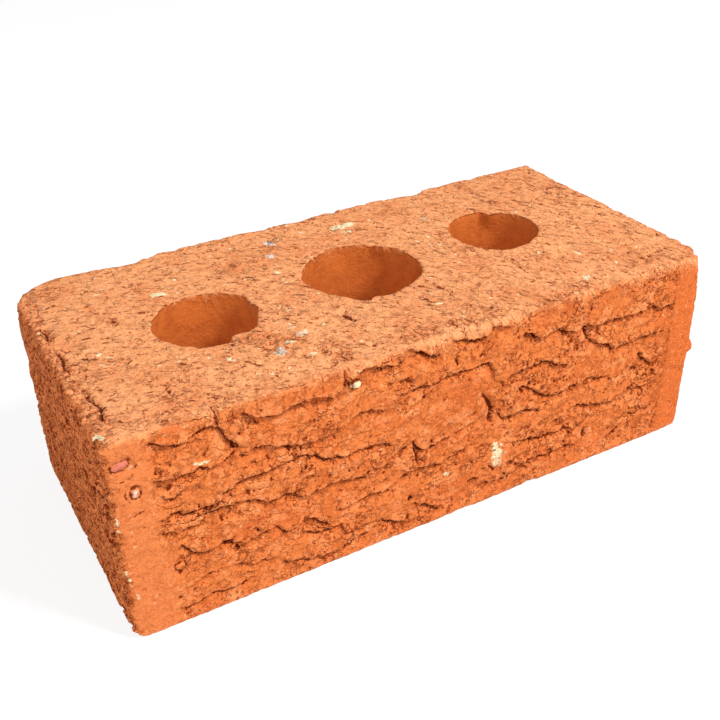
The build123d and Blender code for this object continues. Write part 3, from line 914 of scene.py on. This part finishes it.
def faces_across(solid, number, axis):
    """The faces around the crossed edges along an axis, from the numbers of the cells' points:
    first those around the edges that leave the clay, then those that enter it."""
    first, second = (axis + 1) % 3, (axis + 2) % 3
    here = [slice(1, -1)] * 3
    here[axis] = slice(0, -1)
    ahead = list(here)
    ahead[axis] = slice(1, None)
    low, high = solid[tuple(here)], solid[tuple(ahead)]
    for leaving in (True, False):
        edges = np.argwhere((low != high) & (low == leaving)) + (np.arange(3) != axis)
        ring = []
        for a, b in ((0, 0), (1, 0), (1, 1), (0, 1)):
            cell = edges.copy()
            cell[:, first] += a - 1
            cell[:, second] += b - 1
            ring.append(number[tuple(cell.T)])
        ring = np.stack(ring, axis=1)
        yield ring if leaving else ring[:, ::-1]


def surface(field):
    """The closed surface where a field is zero, as points and four-sided faces.

    Each cell of the lattice that the surface passes through gets one point, and each crossed
    edge joins the points of its four cells.
    """
    solid = field < 0
    corners = [tuple(slice(bit, bit - 1 or None) for bit in bits) for bits in np.ndindex(2, 2, 2)]
    count = sum(solid[corner].astype(np.int8) for corner in corners)
    cells = np.argwhere((count > 0) & (count < 8))
    number = np.full(count.shape, -1, dtype=np.int64)
    number[tuple(cells.T)] = np.arange(len(cells))
    faces = [face for axis in range(3) for face in faces_across(solid, number, axis)]
    return crossing_means(field, cells), np.concatenate(faces)


def triangles_of(points, faces):
    """Each four-sided face as two triangles, split along its shorter diagonal."""
    a, b, c, d = (points[faces[:, corner]] for corner in range(4))
    short = ((a - c) ** 2).sum(axis=1) <= ((b - d) ** 2).sum(axis=1)
    order = np.where(short[:, None], [0, 1, 2, 0, 2, 3], [1, 2, 3, 1, 3, 0])
    return np.take_along_axis(faces, order, axis=1).reshape(-1, 3)


def make_mesh(points, triangles):
    """A mesh from numpy arrays."""
    mesh = bpy.data.meshes.new("brick_draft")
    mesh.vertices.add(len(points))
    mesh.vertices.foreach_set("co", points.astype(np.float32).ravel())
    mesh.loops.add(triangles.size)
    mesh.loops.foreach_set("vertex_index", triangles.astype(np.int32).ravel())
    mesh.polygons.add(len(triangles))
    mesh.polygons.foreach_set("loop_start", np.arange(0, triangles.size, 3, dtype=np.int32))
    mesh.update(calc_edges=True)
    return mesh


def keep_largest(mesh):
    """Drops every loose bit but the largest."""
    bm = bmesh.new()
    bm.from_mesh(mesh)
    seen = set()
    groups = []
    for start in bm.verts:
        if start.index in seen:
            continue
        group, queue = [], [start]
        seen.add(start.index)
        while queue:
            vertex = queue.pop()
            group.append(vertex)
            for edge in vertex.link_edges:
                other = edge.other_vert(vertex)
                if other.index not in seen:
                    seen.add(other.index)
                    queue.append(other)
        groups.append(group)
    groups.sort(key=len)
    loose = [vertex for group in groups[:-1] for vertex in group]
    bmesh.ops.delete(bm, geom=loose, context="VERTS")
    bm.to_mesh(mesh)
    bm.free()


def vertex_places(mesh):
    """The places of a mesh's vertices, in millimetres."""
    places = np.empty(3 * len(mesh.vertices), dtype=np.float32)
    mesh.vertices.foreach_get("co", places)
    return places.reshape(-1, 3) / MM


def shown(points):
    """Whether each place is within a few millimetres of the front, upper bed or left end."""
    x, y, z = points.T
    return (y < FRONT + 6) | (z > HEAD - 4) | (x < LEFT + 5)


def thinned(mesh, seen, triangles):
    """The mesh with the triangles of its shown or its hidden side brought down to so many."""
    zone = shown(vertex_places(mesh)) == seen
    corners = np.empty(3 * len(mesh.polygons), dtype=np.int32)
    mesh.polygons.foreach_get("vertices", corners)
    inside = int(zone[corners.reshape(-1, 3)].all(axis=1).sum())
    draft = bpy.data.objects.new("draft", mesh)
    bpy.context.collection.objects.link(draft)
    group = draft.vertex_groups.new(name="zone")
    group.add([int(index) for index in np.flatnonzero(zone)], 1.0, "REPLACE")
    modifier = draft.modifiers.new("fewer", "DECIMATE")
    modifier.vertex_group = group.name
    modifier.vertex_group_factor = 1.0
    modifier.ratio = min(1.0, 1 - (inside - triangles) / len(mesh.polygons))
    modifier.use_collapse_triangulate = True
    depsgraph = bpy.context.evaluated_depsgraph_get()
    made = bpy.data.meshes.new_from_object(draft.evaluated_get(depsgraph))
    bpy.data.objects.remove(draft)
    return made


def face_weights(sheets, places):
    """How far each vertex belongs to each face of the brick, all together 1."""
    weights = {}
    for name, (u, v, inwards) in places.items():
        away = np.abs(inwards - sheets[name].read("depth", u, v))
        weights[name] = np.exp(-away / 0.6) + 1e-6
    total = sum(weights.values())
    return {name: weight / total for name, weight in weights.items()}


def paint(mesh, sheets, cores):
    """Writes the sheets' colours to the mesh, each vertex from the face that it lies on."""
    x, y, z = vertex_places(mesh).astype(float).T
    places = {
        "front": (x, z, y - FRONT),
        "back": (x, z, BACK - y),
        "left": (y, z, x - LEFT),
        "right": (y, z, RIGHT - x),
        "head": (x, y, HEAD - z),
        "foot": (x, y, z - BED),
    }
    inner = np.zeros(len(x))
    for core in cores:
        far = np.hypot(x - core.centre[0], y - core.centre[1])
        inner = np.maximum(inner, smooth_step(core.radius + 2.2, core.radius + 1.6, far))
    below = HEAD - z - sheets["head"].read("depth", x, y)
    bore = inner * smooth_step(0.1, 0.7, below) * smooth_step(0.1, 0.7, z - BED)
    weights = face_weights(sheets, places)
    shades = {}
    for colour in (*COLOURS, "proud", "gap"):
        shades[colour] = sum(
            weights[name] * sheets[name].read(colour, u, v) for name, (u, v, _) in places.items()
        )
        if colour != "gap":
            shades[colour] = clamp(shades[colour] * (1 - bore))
    shades["bed"] = np.where(inner > 0.5, 1.0, weights["head"] + weights["foot"]) * (1 - bore)
    shades["header"] = weights["left"] * (1 - bore)
    shades["bore"] = bore
    turn = drag_turn(x)
    shades["drag"] = x * np.cos(turn) + y * np.sin(turn)
    shades["over"] = y * np.cos(turn) - x * np.sin(turn)
    for name, values in shades.items():
        layer = mesh.attributes.new(name, "FLOAT", "POINT")
        layer.data.foreach_set("value", values.astype(np.float32))


def paint_hollow_shade(sheet):
    """Paints shade on what lies deeper than the clay round it, and marks what stands proud of it for
    a painted highlight.
    """
    sunk = sheet.depth - blur(blur(sheet.depth, 3.0), 3.0)
    sheet.dark = clamp(np.maximum(sheet.dark, 0.35 * smooth_step(1.2, 2.6, sunk)))
    sheet.proud = smooth_step(0.15, 0.9, -sunk)


# Where the rims of the cores wander, as (degrees from +X, outwards)
RIMS = {
    "left_core": (
        (0, 0.2), (12, -0.4), (25, 1.1), (50, 0.6), (90, 0.2), (140, -0.3), (180, 0.2),
        (215, -0.3), (240, -0.5), (250, 0), (262, -0.4), (275, -1.4), (283, -2.9), (295, -2.4),
        (303, -0.9), (320, -0.4), (340, -0.8),
    ),
    "middle_core": (
        (18, 0.3), (26, 0.4), (38, -0.6), (52, -0.1), (64, -0.3), (77, 0.2), (90, 0.4), (104, 0),
        (118, -0.3), (136, -0.7), (153, 0.1), (170, 0), (192, -0.7), (209, -1.6), (226, -1.2),
        (239, 0.2), (246, 0.5), (252, -1.7), (270, -1.5), (286, -2.3), (308, -1.5), (324, -0.4),
        (340, -0.6), (356, -0.9),
    ),
    "right_core": (
        (0, 0.3), (25, 0.2), (45, -0.6), (62, -2.2), (72, 0.5), (82, 0.2), (95, -0.4), (140, 0),
        (180, -0.2), (225, 0.2), (262, 0.8), (290, -0.4), (330, 0.2),
    ),
}


def brick_cores():
    """The cores, from the record's bore mounts."""
    mounts = {mount["name"]: mount for mount in frame["record"]["mounts"]}
    return [Core(mounts[name], 700 + 20 * i, rim) for i, (name, rim) in enumerate(RIMS.items())]


def brick_sheets():
    """All six faces, with their edges chipped, worn and slumped."""
    sheets = {
        "front": front_sheet(),
        "back": back_sheet(),
        "left": end_sheet(seed=500),
        "right": end_sheet(seed=560),
        "head": bed_sheet(seed=200, marked=True),
        "foot": bed_sheet(seed=260, marked=False),
    }
    back, right, head, foot = (sheets[name] for name in ("back", "right", "head", "foot"))
    edge_chips(head, FRONT, FRONT_HEAD_CHIPS, reach=0.8, seed=31)
    edge_chips(foot, FRONT, FRONT_FOOT_CHIPS, reach=1.6, seed=32)
    along, inwards = np.array(BACK_SCALLOPS, dtype=float).T
    near_head = np.exp(-clamp(HEAD - back.v, 0, 99) / 7.0)
    back.depth = back.depth * (1 - near_head) + np.interp(back.u, along, inwards) * near_head
    head.depth += 2.6 * clamp(1 - np.hypot(head.u - LEFT, head.v - BACK) / 15) ** 1.3
    foot.depth *= 0.4
    right.depth *= 0.2 + 0.8 * smooth_step(0, 9, right.u - FRONT)
    slump = clamp(1 - (right.u - FRONT) / 18) ** 1.5
    right.depth += 3.6 * slump * np.exp(-clamp(HEAD - right.v, 0, 99) / 10)
    for number, sheet in enumerate(sheets.values()):
        worn_edges(sheet, 620 + 10 * number)
        sheet.depth = np.maximum(sheet.depth, 0)
        paint_hollow_shade(sheet)
    return sheets


def make_brick():
    """The brick's mesh, in place of the plain CAD solid."""
    sheets, cores = brick_sheets(), brick_cores()
    field = body_field(sheets, cores)
    for crumb in CRUMBS:
        add_crumb(field, *crumb)
    untangle(field)
    points, faces = surface(field)
    points = np.array((X[0], Y[0], Z[0])) + STEP * points
    mesh = make_mesh(points * MM, triangles_of(points, faces))
    keep_largest(mesh)
    mesh = thinned(mesh, seen=False, triangles=HIDDEN_TRIANGLES)
    mesh = thinned(mesh, seen=True, triangles=SHOWN_TRIANGLES)
    places = np.clip(vertex_places(mesh), BOX_LOW, BOX_HIGH) * MM
    mesh.vertices.foreach_set("co", places.astype(np.float32).ravel())
    mesh.polygons.foreach_set("use_smooth", [True] * len(mesh.polygons))
    paint(mesh, sheets, cores)
    mesh.update()
    mesh.name = "fired_brick"
    brick = bpy.data.objects.new("fired_brick", mesh)
    bpy.context.collection.objects.link(brick)
    return brick


class Signal:
    """A number, colour or vector in a node tree; arithmetic on numbers adds nodes."""

    def __init__(self, nodes, socket):
        self.nodes = nodes
        self.socket = socket

    def __add__(self, other):
        return self.nodes.math("ADD", self, other)

    def __mul__(self, other):
        return self.nodes.math("MULTIPLY", self, other)

    def __sub__(self, other):
        return self.nodes.math("SUBTRACT", self, other)

    def __rsub__(self, other):
        return self.nodes.math("SUBTRACT", other, self)

    __radd__ = __add__
    __rmul__ = __mul__

    def ramp(self, low, high):
        """0 at low, 1 at high, held level beyond them; high may be the smaller."""
        inputs = {"Value": self, "From Min": low, "From Max": high}
        node = self.nodes.add("ShaderNodeMapRange", inputs, interpolation_type="SMOOTHSTEP")
        return self.nodes.out(node, "Result")

    def from_middle(self):
        """How far a value lies from one half."""
        return self.nodes.math("ABSOLUTE", 0.5 - self)


class Nodes:
    """A short way to build the node tree of a material or a world."""

    def __init__(self, owner):
        owner.use_nodes = True
        self.owner = owner
        self.tree = owner.node_tree
        self.tree.nodes.clear()

    def add(self, kind, inputs=None, **settings):
        """A node with these settings, its inputs filled in or linked."""
        node = self.tree.nodes.new(kind)
        for name, value in settings.items():
            setattr(node, name, value)
        for name, value in (inputs or {}).items():
            socket = node.inputs[name]
            if isinstance(value, Signal):
                self.tree.links.new(value.socket, socket)
            elif socket.type == "RGBA":
                socket.default_value = (*value, 1.0)
            else:
                socket.default_value = value
        return node

    def out(self, node, name=0):
        """One output of a node."""
        return Signal(self, node.outputs[name])

    def value(self, name):
        """A vertex attribute."""
        return self.out(self.add("ShaderNodeAttribute", attribute_name=name), "Fac")

    def math(self, operation, *values):
        return self.out(self.add("ShaderNodeMath", dict(enumerate(values)), operation=operation))

    def vector(self, operation, one, other):
        return self.out(self.add("ShaderNodeVectorMath", {0: one, 1: other}, operation=operation))

    def scaled(self, vector, factor):
        inputs = {0: vector, "Scale": factor}
        return self.out(self.add("ShaderNodeVectorMath", inputs, operation="SCALE"))

    def grain(self, vector, scale, detail, rough):
        """Noise about 0.5 that changes over about 1 / scale."""
        inputs = {"Vector": vector, "Scale": scale, "Detail": detail, "Roughness": rough}
        return self.out(self.add("ShaderNodeTexNoise", inputs), "Fac")

    def voronoi(self, vector, scale, dimensions="3D"):
        """Cells about 1 / scale across: the distance to the middle, the three random values of
        the cell, its colour, and the middle."""
        inputs = {"Vector": vector, "Scale": scale}
        node = self.add("ShaderNodeTexVoronoi", inputs, voronoi_dimensions=dimensions)
        colour, middle = self.out(node, "Color"), self.out(node, "Position")
        kinds = self.parts(colour, "ShaderNodeSeparateColor")
        return self.out(node, "Distance"), kinds, colour, middle

    def parts(self, value, kind):
        """The three parts of a colour or a vector."""
        return [Signal(self, socket) for socket in self.add(kind, {0: value}).outputs]

    def blend(self, factor, one, other):
        """From one colour to the other."""
        return self.out(self.add("ShaderNodeMix", {0: factor, 6: one, 7: other}, data_type="RGBA"), 2)

    def between(self, factor, one, other):
        """From one value to the other."""
        return self.out(self.add("ShaderNodeMix", {0: factor, 2: one, 3: other}))


# Colours of the clay, linear. The crack, crevice and seam colours are painted shade for cracks,
# crevices, pits, nicks, hollows and low flakes, and the seam colour also gives the grit its own dark
# specks; the light clay colours also give painted highlights.
CLAY = (0.72, 0.194, 0.048)
CLAY_RED = (0.64, 0.142, 0.031)
CLAY_LIGHT = (0.90, 0.310, 0.112)
CLAY_DULL = (0.72, 0.212, 0.066)
BED_CLAY = (0.94, 0.385, 0.160)
BED_RED = (0.82, 0.270, 0.100)
BED_LIGHT = (0.97, 0.470, 0.215)
BORE_CLAY = (0.70, 0.184, 0.035)
HEADER_CLAY = (0.80, 0.224, 0.066)
BORE_DARK = (0.56, 0.130, 0.026)
CRACK_SHADE = (0.240, 0.022, 0.003)
CREVICE_SHADE = (0.130, 0.011, 0.002)
SHADE_AND_SPECKS = (0.380, 0.056, 0.007)
CREAM = (0.95, 0.78, 0.48)
ASH = (0.82, 0.70, 0.60)
ROSE = (0.70, 0.200, 0.130)

# Small drops that the wire left on the beds, in two sizes: length, width, the share of places
# that have one, and a shift of their pattern
DROPS = ((3.2, 1.2, 0.11, 0.0), (7.5, 2.2, 0.10, 7.0))
HALF = (0.5, 0.5, 0.5)


class Clay(Nodes):
    """Fired clay: mottled, gritty, cracked where it has crumbled, with pale flecks, painted shade and
    painted highlights.
    """

    def __init__(self):
        super().__init__(bpy.data.materials.new("fired_clay_skin"))
        for name in ("dark", "crumb", "bed", "bore", "edge", "header", "dull", "gap"):
            setattr(self, name, self.value(name))
        # How smooth the clay is left
        self.even = self.math("MAXIMUM", self.bore, 0.6 * self.dull)
        self.place = self.scaled(self.out(self.add("ShaderNodeTexCoord"), "Object"), 1 / MM)
        self.mottle = self.grain(self.place, 0.06, 4.0, 0.6)
        self.patch = self.grain(self.place, 0.22, 3.0, 0.6)
        self.grit = self.grain(self.place, 0.9, 3.0, 0.6)
        self.fine = self.grain(self.place, 1.7, 2.0, 0.7)
        # Places pushed about, so that cracks and the edges of flakes wander
        push = self.add("ShaderNodeTexNoise", {"Vector": self.place, "Scale": 0.55, "Detail": 3.0})
        push = self.vector("SUBTRACT", self.out(push, "Color"), HALF)
        self.bent = self.vector("ADD", self.place, self.scaled(push, 3.4))
        drag = self.add("ShaderNodeCombineXYZ", {"X": self.value("drag"), "Y": self.value("over")})
        self.drag = self.vector("ADD", self.out(drag), self.scaled(push, 1.8))
        self.long_way = self.vector("MULTIPLY", self.drag, (0.24, 1.0, 1.0))
        # Where the clay is broken, and where its flakes are lifted
        self.broken = (self.crumb + 1.6 * self.patch + 1.1 * self.header).ramp(0.95, 1.65)
        some = self.grain(self.place, 0.33, 2.0, 0.6).ramp(0.40, 0.60)
        self.lifted = 0.85 * self.broken * some + 0.15
        # Flakes lie along the courses on the faces, and along the drag of the wire on the beds
        on_face = self.vector("MULTIPLY", self.bent, (1 / 4.4, 1 / 3.6, 1 / 2.3))
        on_bed = self.vector("MULTIPLY", self.drag, (1 / 4.6, 1 / 1.7, 1.0))
        pairs = zip(self.flakes(on_face, "3D"), self.flakes(on_bed, "2D"))
        self.flake, self.chance = (self.between(self.bed, *pair) for pair in pairs)

    def flakes(self, vector, dimensions):
        """Flakes about one unit across: how high each place on them is, and a chance from 0 to 1
        of each flake's own."""
        _, kinds, colour, middle = self.voronoi(vector, 1.0, dimensions)
        away = self.vector("SUBTRACT", vector, middle)
        tilt = self.vector("SUBTRACT", colour, HALF)
        slope = self.add("ShaderNodeVectorMath", {0: away, 1: tilt}, operation="DOT_PRODUCT")
        return 1.4 * self.out(slope, "Value") + 0.55 * kinds[2], kinds[1]

    def cracks(self):
        """Cracks where a noise crosses its middle, wide and narrow; the material darkens them as
        painted shade.
        """
        wide = self.grain(self.bent, 0.22, 2.5, 0.55).from_middle().ramp(0.022, 0.007)
        narrow = self.grain(self.bent, 0.60, 2.0, 0.55).from_middle().ramp(0.028, 0.008)
        gate = self.grain(self.place, 0.45, 1.0, 0.5).ramp(0.40, 0.50)
        cracks = self.math("MAXIMUM", wide, narrow) * (0.6 * self.broken + 0.4) * gate
        return cracks * (1.0 - 0.8 * self.even) * (1.0 - 0.4 * self.bed)

    def under_lips(self):
        """The crisp shadow line below each torn lip, and the softer shade under it."""
        jag = self.gap + 2.6 * self.grit
        line = jag.ramp(1.15, 1.32) * jag.ramp(1.95, 1.55) * self.edge.ramp(0.25, 0.6)
        return line, self.gap.ramp(-0.2, 0.4) * self.gap.ramp(3.2, 0.6) * self.edge

    def nicks(self):
        """Nicks along the drag of the wire, thin curved strokes and small drops painted dark as the
        shadow under the flaps beside them, and how high those flaps stand."""
        curves = self.grain(self.long_way, 0.7, 2.5, 0.6).from_middle()
        wide_way = self.vector("MULTIPLY", self.drag, (0.5, 1.0, 1.0))
        here = self.grain(wide_way, 0.42, 1.5, 0.5)
        nicks = curves.ramp(0.020, 0.007) * here.ramp(0.53, 0.58)
        flaps = 0.3 * here.ramp(0.45, 0.60) * curves.ramp(0.0, 0.09)
        for length, width, share, shift in DROPS:
            places = self.vector("MULTIPLY", self.drag, (1 / length, 1 / width, 1.0))
            places = self.vector("ADD", places, (shift, shift, 0.0))
            distance, kinds, _, middle = self.voronoi(places, 1.0, "2D")
            chosen = kinds[0].ramp(1 - share, 1.02 - share)
            near = self.math("DIVIDE", distance, 0.15 * kinds[1] + 0.08)
            offset = self.vector("SUBTRACT", places, middle)
            across = self.parts(offset, "ShaderNodeSeparateXYZ")[1]
            nicks = self.math("MAXIMUM", nicks, near.ramp(1.1, 0.7) * chosen)
            flaps = flaps + near.ramp(2.6, 0.8) * chosen * across * (-2.4 * width)
        return nicks * self.bed, flaps * self.bed

    def sand(self):
        """Pits and crumbs about as large as a grain of sand: pits for painted shade, crumbs for
        painted highlights.
        """
        distance, kinds, _, _ = self.voronoi(self.bent, 0.62)
        grain = distance.ramp(0.36, 0.24) * (1.0 - 0.8 * self.bore)
        pits = grain * kinds[0].ramp(0.82, 0.86) * (1.0 - 0.5 * self.dull)
        return pits, grain * kinds[1].ramp(0.80, 0.84)

    def ground_colour(self):
        """The clay's own colour, from place to place and from face to face."""
        face = self.blend(self.mottle.ramp(0.38, 0.70), CLAY, CLAY_RED)
        face = self.blend(self.patch.ramp(0.45, 0.75), face, CLAY_LIGHT)
        face = self.blend(self.dull, face, CLAY_DULL)
        east = self.parts(self.place, "ShaderNodeSeparateXYZ")[0]
        face = self.blend(east.ramp(88, 101), face, CLAY_RED)
        bed = self.blend(self.mottle.ramp(0.40, 0.72), BED_CLAY, BED_RED)
        streaks = self.grain(self.long_way, 1.1, 3.0, 0.6)
        bed = self.blend(streaks.ramp(0.50, 0.74), bed, BED_LIGHT)
        red = 0.8 * self.crumb.ramp(0.3, 1.0) * self.patch.ramp(0.35, 0.6)
        bed = self.blend(red, bed, BED_RED)
        bore = self.blend(self.patch.ramp(0.30, 0.85), BORE_CLAY, BORE_DARK)
        colour = self.blend(self.bed, face, bed)
        colour = self.blend(self.header, colour, HEADER_CLAY)
        return self.blend(self.bore, colour, bore)

    def finish(self):
        """The whole material."""
        crumb, bed, grit, fine, flake = self.crumb, self.bed, self.grit, self.fine, self.flake
        cracks, (nicks, flaps) = self.cracks(), self.nicks()
        under, shade = self.under_lips()
        pits, crumbs = self.sand()
        open_clay = 1.0 - 0.7 * self.bore
        # lit, a lighter copy of the clay, gives painted highlights and lighter specks
        lit = self.blend(bed, CLAY_LIGHT, BED_LIGHT)
        shady = self.blend(bed, CLAY_RED, BED_RED)
        # Where the fine relief gets painted shade in its low parts and a painted highlight on its
        # high parts: the headers, and the crumbled parts of the beds
        relief_shading = self.math("MAXIMUM", self.header, 0.5 * crumb.ramp(0.4, 0.9) * bed)
        sunk = flake + 1.6 * grit + 0.8 * fine
        distance, kinds, _, _ = self.voronoi(self.bent, 0.34)
        fleck = distance.ramp(0.28, 0.12) * kinds[0].ramp(0.88, 0.90) * (0.7 * bed + 0.25)

        # What is laid over the clay's own colour, in this order: how much of it, and its colour. Many
        # coats are painted shade or painted highlights.
        coats = (
            (0.55 * self.chance * (0.6 * self.lifted + 0.4) * open_clay, shady),
            # Painted highlight on what stands proud
            (0.9 * self.value("proud") * grit, lit),
            (0.65 * fine.ramp(0.54, 0.68) * open_clay, lit),
            (0.5 * grit.ramp(0.62, 0.70) * open_clay, SHADE_AND_SPECKS),
            (0.5 * shade, CLAY_RED),
            # Painted shade in the low parts of the fine relief, and a painted highlight on its high
            # parts
            (0.8 * sunk.ramp(1.45, 0.95) * relief_shading, SHADE_AND_SPECKS),
            (0.9 * sunk.ramp(1.10, 0.85) * relief_shading, CRACK_SHADE),
            (0.6 * flake.ramp(0.60, 0.95) * relief_shading, lit),
            (fleck * open_clay, CREAM),
            (self.value("pink"), ROSE),
            ((self.value("grey") + 1.2 * grit).ramp(0.95, 1.25), ASH),
            ((self.value("pale") + 1.2 * grit).ramp(0.92, 1.22), CREAM),
            # A painted highlight on sand crumbs, then painted shade in pits, cracks and nicks
            (0.75 * crumbs, lit),
            (0.8 * pits, SHADE_AND_SPECKS),
            (0.95 * cracks, CRACK_SHADE),
            (0.9 * nicks, SHADE_AND_SPECKS),
            # Painted shade in grooves and hollows, then the painted shadow line under each lip
            (0.9 * (self.dark + 1.3 * grit).ramp(1.05, 1.30), CREVICE_SHADE),
            (0.95 * under, CREVICE_SHADE),
        )
        colour = self.ground_colour()
        for share, tone in coats:
            colour = self.blend(share, colour, tone)

        # Fine relief, in millimetres
        smooth_bed = (1.0 - crumb) * bed
        rough = (self.lifted + self.header) * flake * (1.0 - 0.8 * smooth_bed)
        height = 0.8 * grit + 0.25 * fine + 0.9 * self.patch + rough
        height = height + 0.5 * flaps - 0.4 * cracks - 0.45 * nicks - 0.6 * under
        height = height * (1.0 - 0.6 * self.even)
        bump = self.add("ShaderNodeBump", {"Height": height, "Strength": 1.0, "Distance": MM})
        shader = self.add("ShaderNodeBsdfPrincipled", {
            "Base Color": colour,
            "Roughness": 0.96 - 0.12 * grit,
            "Specular IOR Level": 0.05,
            "Normal": self.out(bump, "Normal"),
        })
        self.add("ShaderNodeOutputMaterial", {"Surface": self.out(shader)})
        return self.owner


def make_camera():
    """The photograph's camera, solved from the brick's outline."""
    place = Vector((-151.1, -269.7, 228.9)) * MM
    yaw, down, roll = (math.radians(angle) for angle in (28.87, 31.87, -1.19))
    focal_pixels, frame_pixels, sensor = 990.4, 720, 36.0
    ahead = Vector((math.sin(yaw) * math.cos(down), math.cos(yaw) * math.cos(down),
                    -math.sin(down)))
    side = Vector((math.cos(yaw), -math.sin(yaw), 0))
    up = side.cross(ahead)
    level = math.cos(roll) * side + math.sin(roll) * up
    upright = math.cos(roll) * up - math.sin(roll) * side
    data = bpy.data.cameras.new("camera")
    data.sensor_fit = "HORIZONTAL"
    data.sensor_width = sensor
    data.lens = focal_pixels * sensor / frame_pixels
    data.clip_start = 0.01
    camera = bpy.data.objects.new("camera", data)
    turn = Matrix((level, upright, -ahead)).transposed().to_4x4()
    camera.matrix_world = Matrix.Translation(place) @ turn
    bpy.context.collection.objects.link(camera)
    bpy.context.scene.camera = camera


def finish_tree(nodes, output, seen, other, share):
    """Ends a node tree with two shaders: one shows to the camera alone, in this share."""
    camera_ray = nodes.out(nodes.add("ShaderNodeLightPath"), "Is Camera Ray")
    inputs = {0: share * camera_ray, 1: nodes.out(other), 2: nodes.out(seen)}
    nodes.add(output, {"Surface": nodes.out(nodes.add("ShaderNodeMixShader", inputs))})


def make_floor():
    """A wide white floor under the brick, which keeps a soft shadow."""
    half = 3.0
    corners = [(-half, -half, 0), (half, -half, 0), (half, half, 0), (-half, half, 0)]
    mesh = bpy.data.meshes.new("floor")
    mesh.from_pydata(corners, [], [(0, 1, 2, 3)])
    floor = bpy.data.objects.new("floor", mesh)
    nodes = Nodes(bpy.data.materials.new("studio_floor"))
    paper = nodes.add("ShaderNodeBsdfDiffuse", {"Color": (0.92, 0.92, 0.92)})
    glow = nodes.add("ShaderNodeEmission", {"Color": (1, 1, 1), "Strength": 1.1})
    finish_tree(nodes, "ShaderNodeOutputMaterial", seen=glow, other=paper, share=0.75)
    floor.data.materials.append(nodes.owner)
    bpy.context.collection.objects.link(floor)


def make_world():
    """Soft light from all round, white to the camera."""
    nodes = Nodes(bpy.data.worlds.new("studio"))
    sky = nodes.add("ShaderNodeBackground", {"Color": (1, 1, 1), "Strength": 0.38})
    white = nodes.add("ShaderNodeBackground", {"Color": (1, 1, 1), "Strength": 1.0})
    finish_tree(nodes, "ShaderNodeOutputWorld", seen=white, other=sky, share=1.0)
    bpy.context.scene.world = nodes.owner


def add_lamp(name, place, size, power):
    """A square soft lamp that looks at the brick."""
    aim = Vector((0, 0, 0.03))
    data = bpy.data.lights.new(name, "AREA")
    data.shape = "SQUARE"
    data.size = size
    data.energy = power
    lamp = bpy.data.objects.new(name, data)
    lamp.location = place
    lamp.rotation_euler = (aim - Vector(place)).to_track_quat("-Z", "Y").to_euler()
    bpy.context.collection.objects.link(lamp)


make_camera()
make_world()
make_floor()
add_lamp("key", place=(0.55, -0.75, 1.15), size=0.3, power=21.0)
add_lamp("fill", place=(-0.95, -0.55, 0.75), size=0.25, power=5.0)

brick = make_brick()
brick.data.materials.append(Clay().finish())
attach(brick, "root")
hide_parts(NODE)

bpy.context.scene.view_settings.view_transform = "Standard"
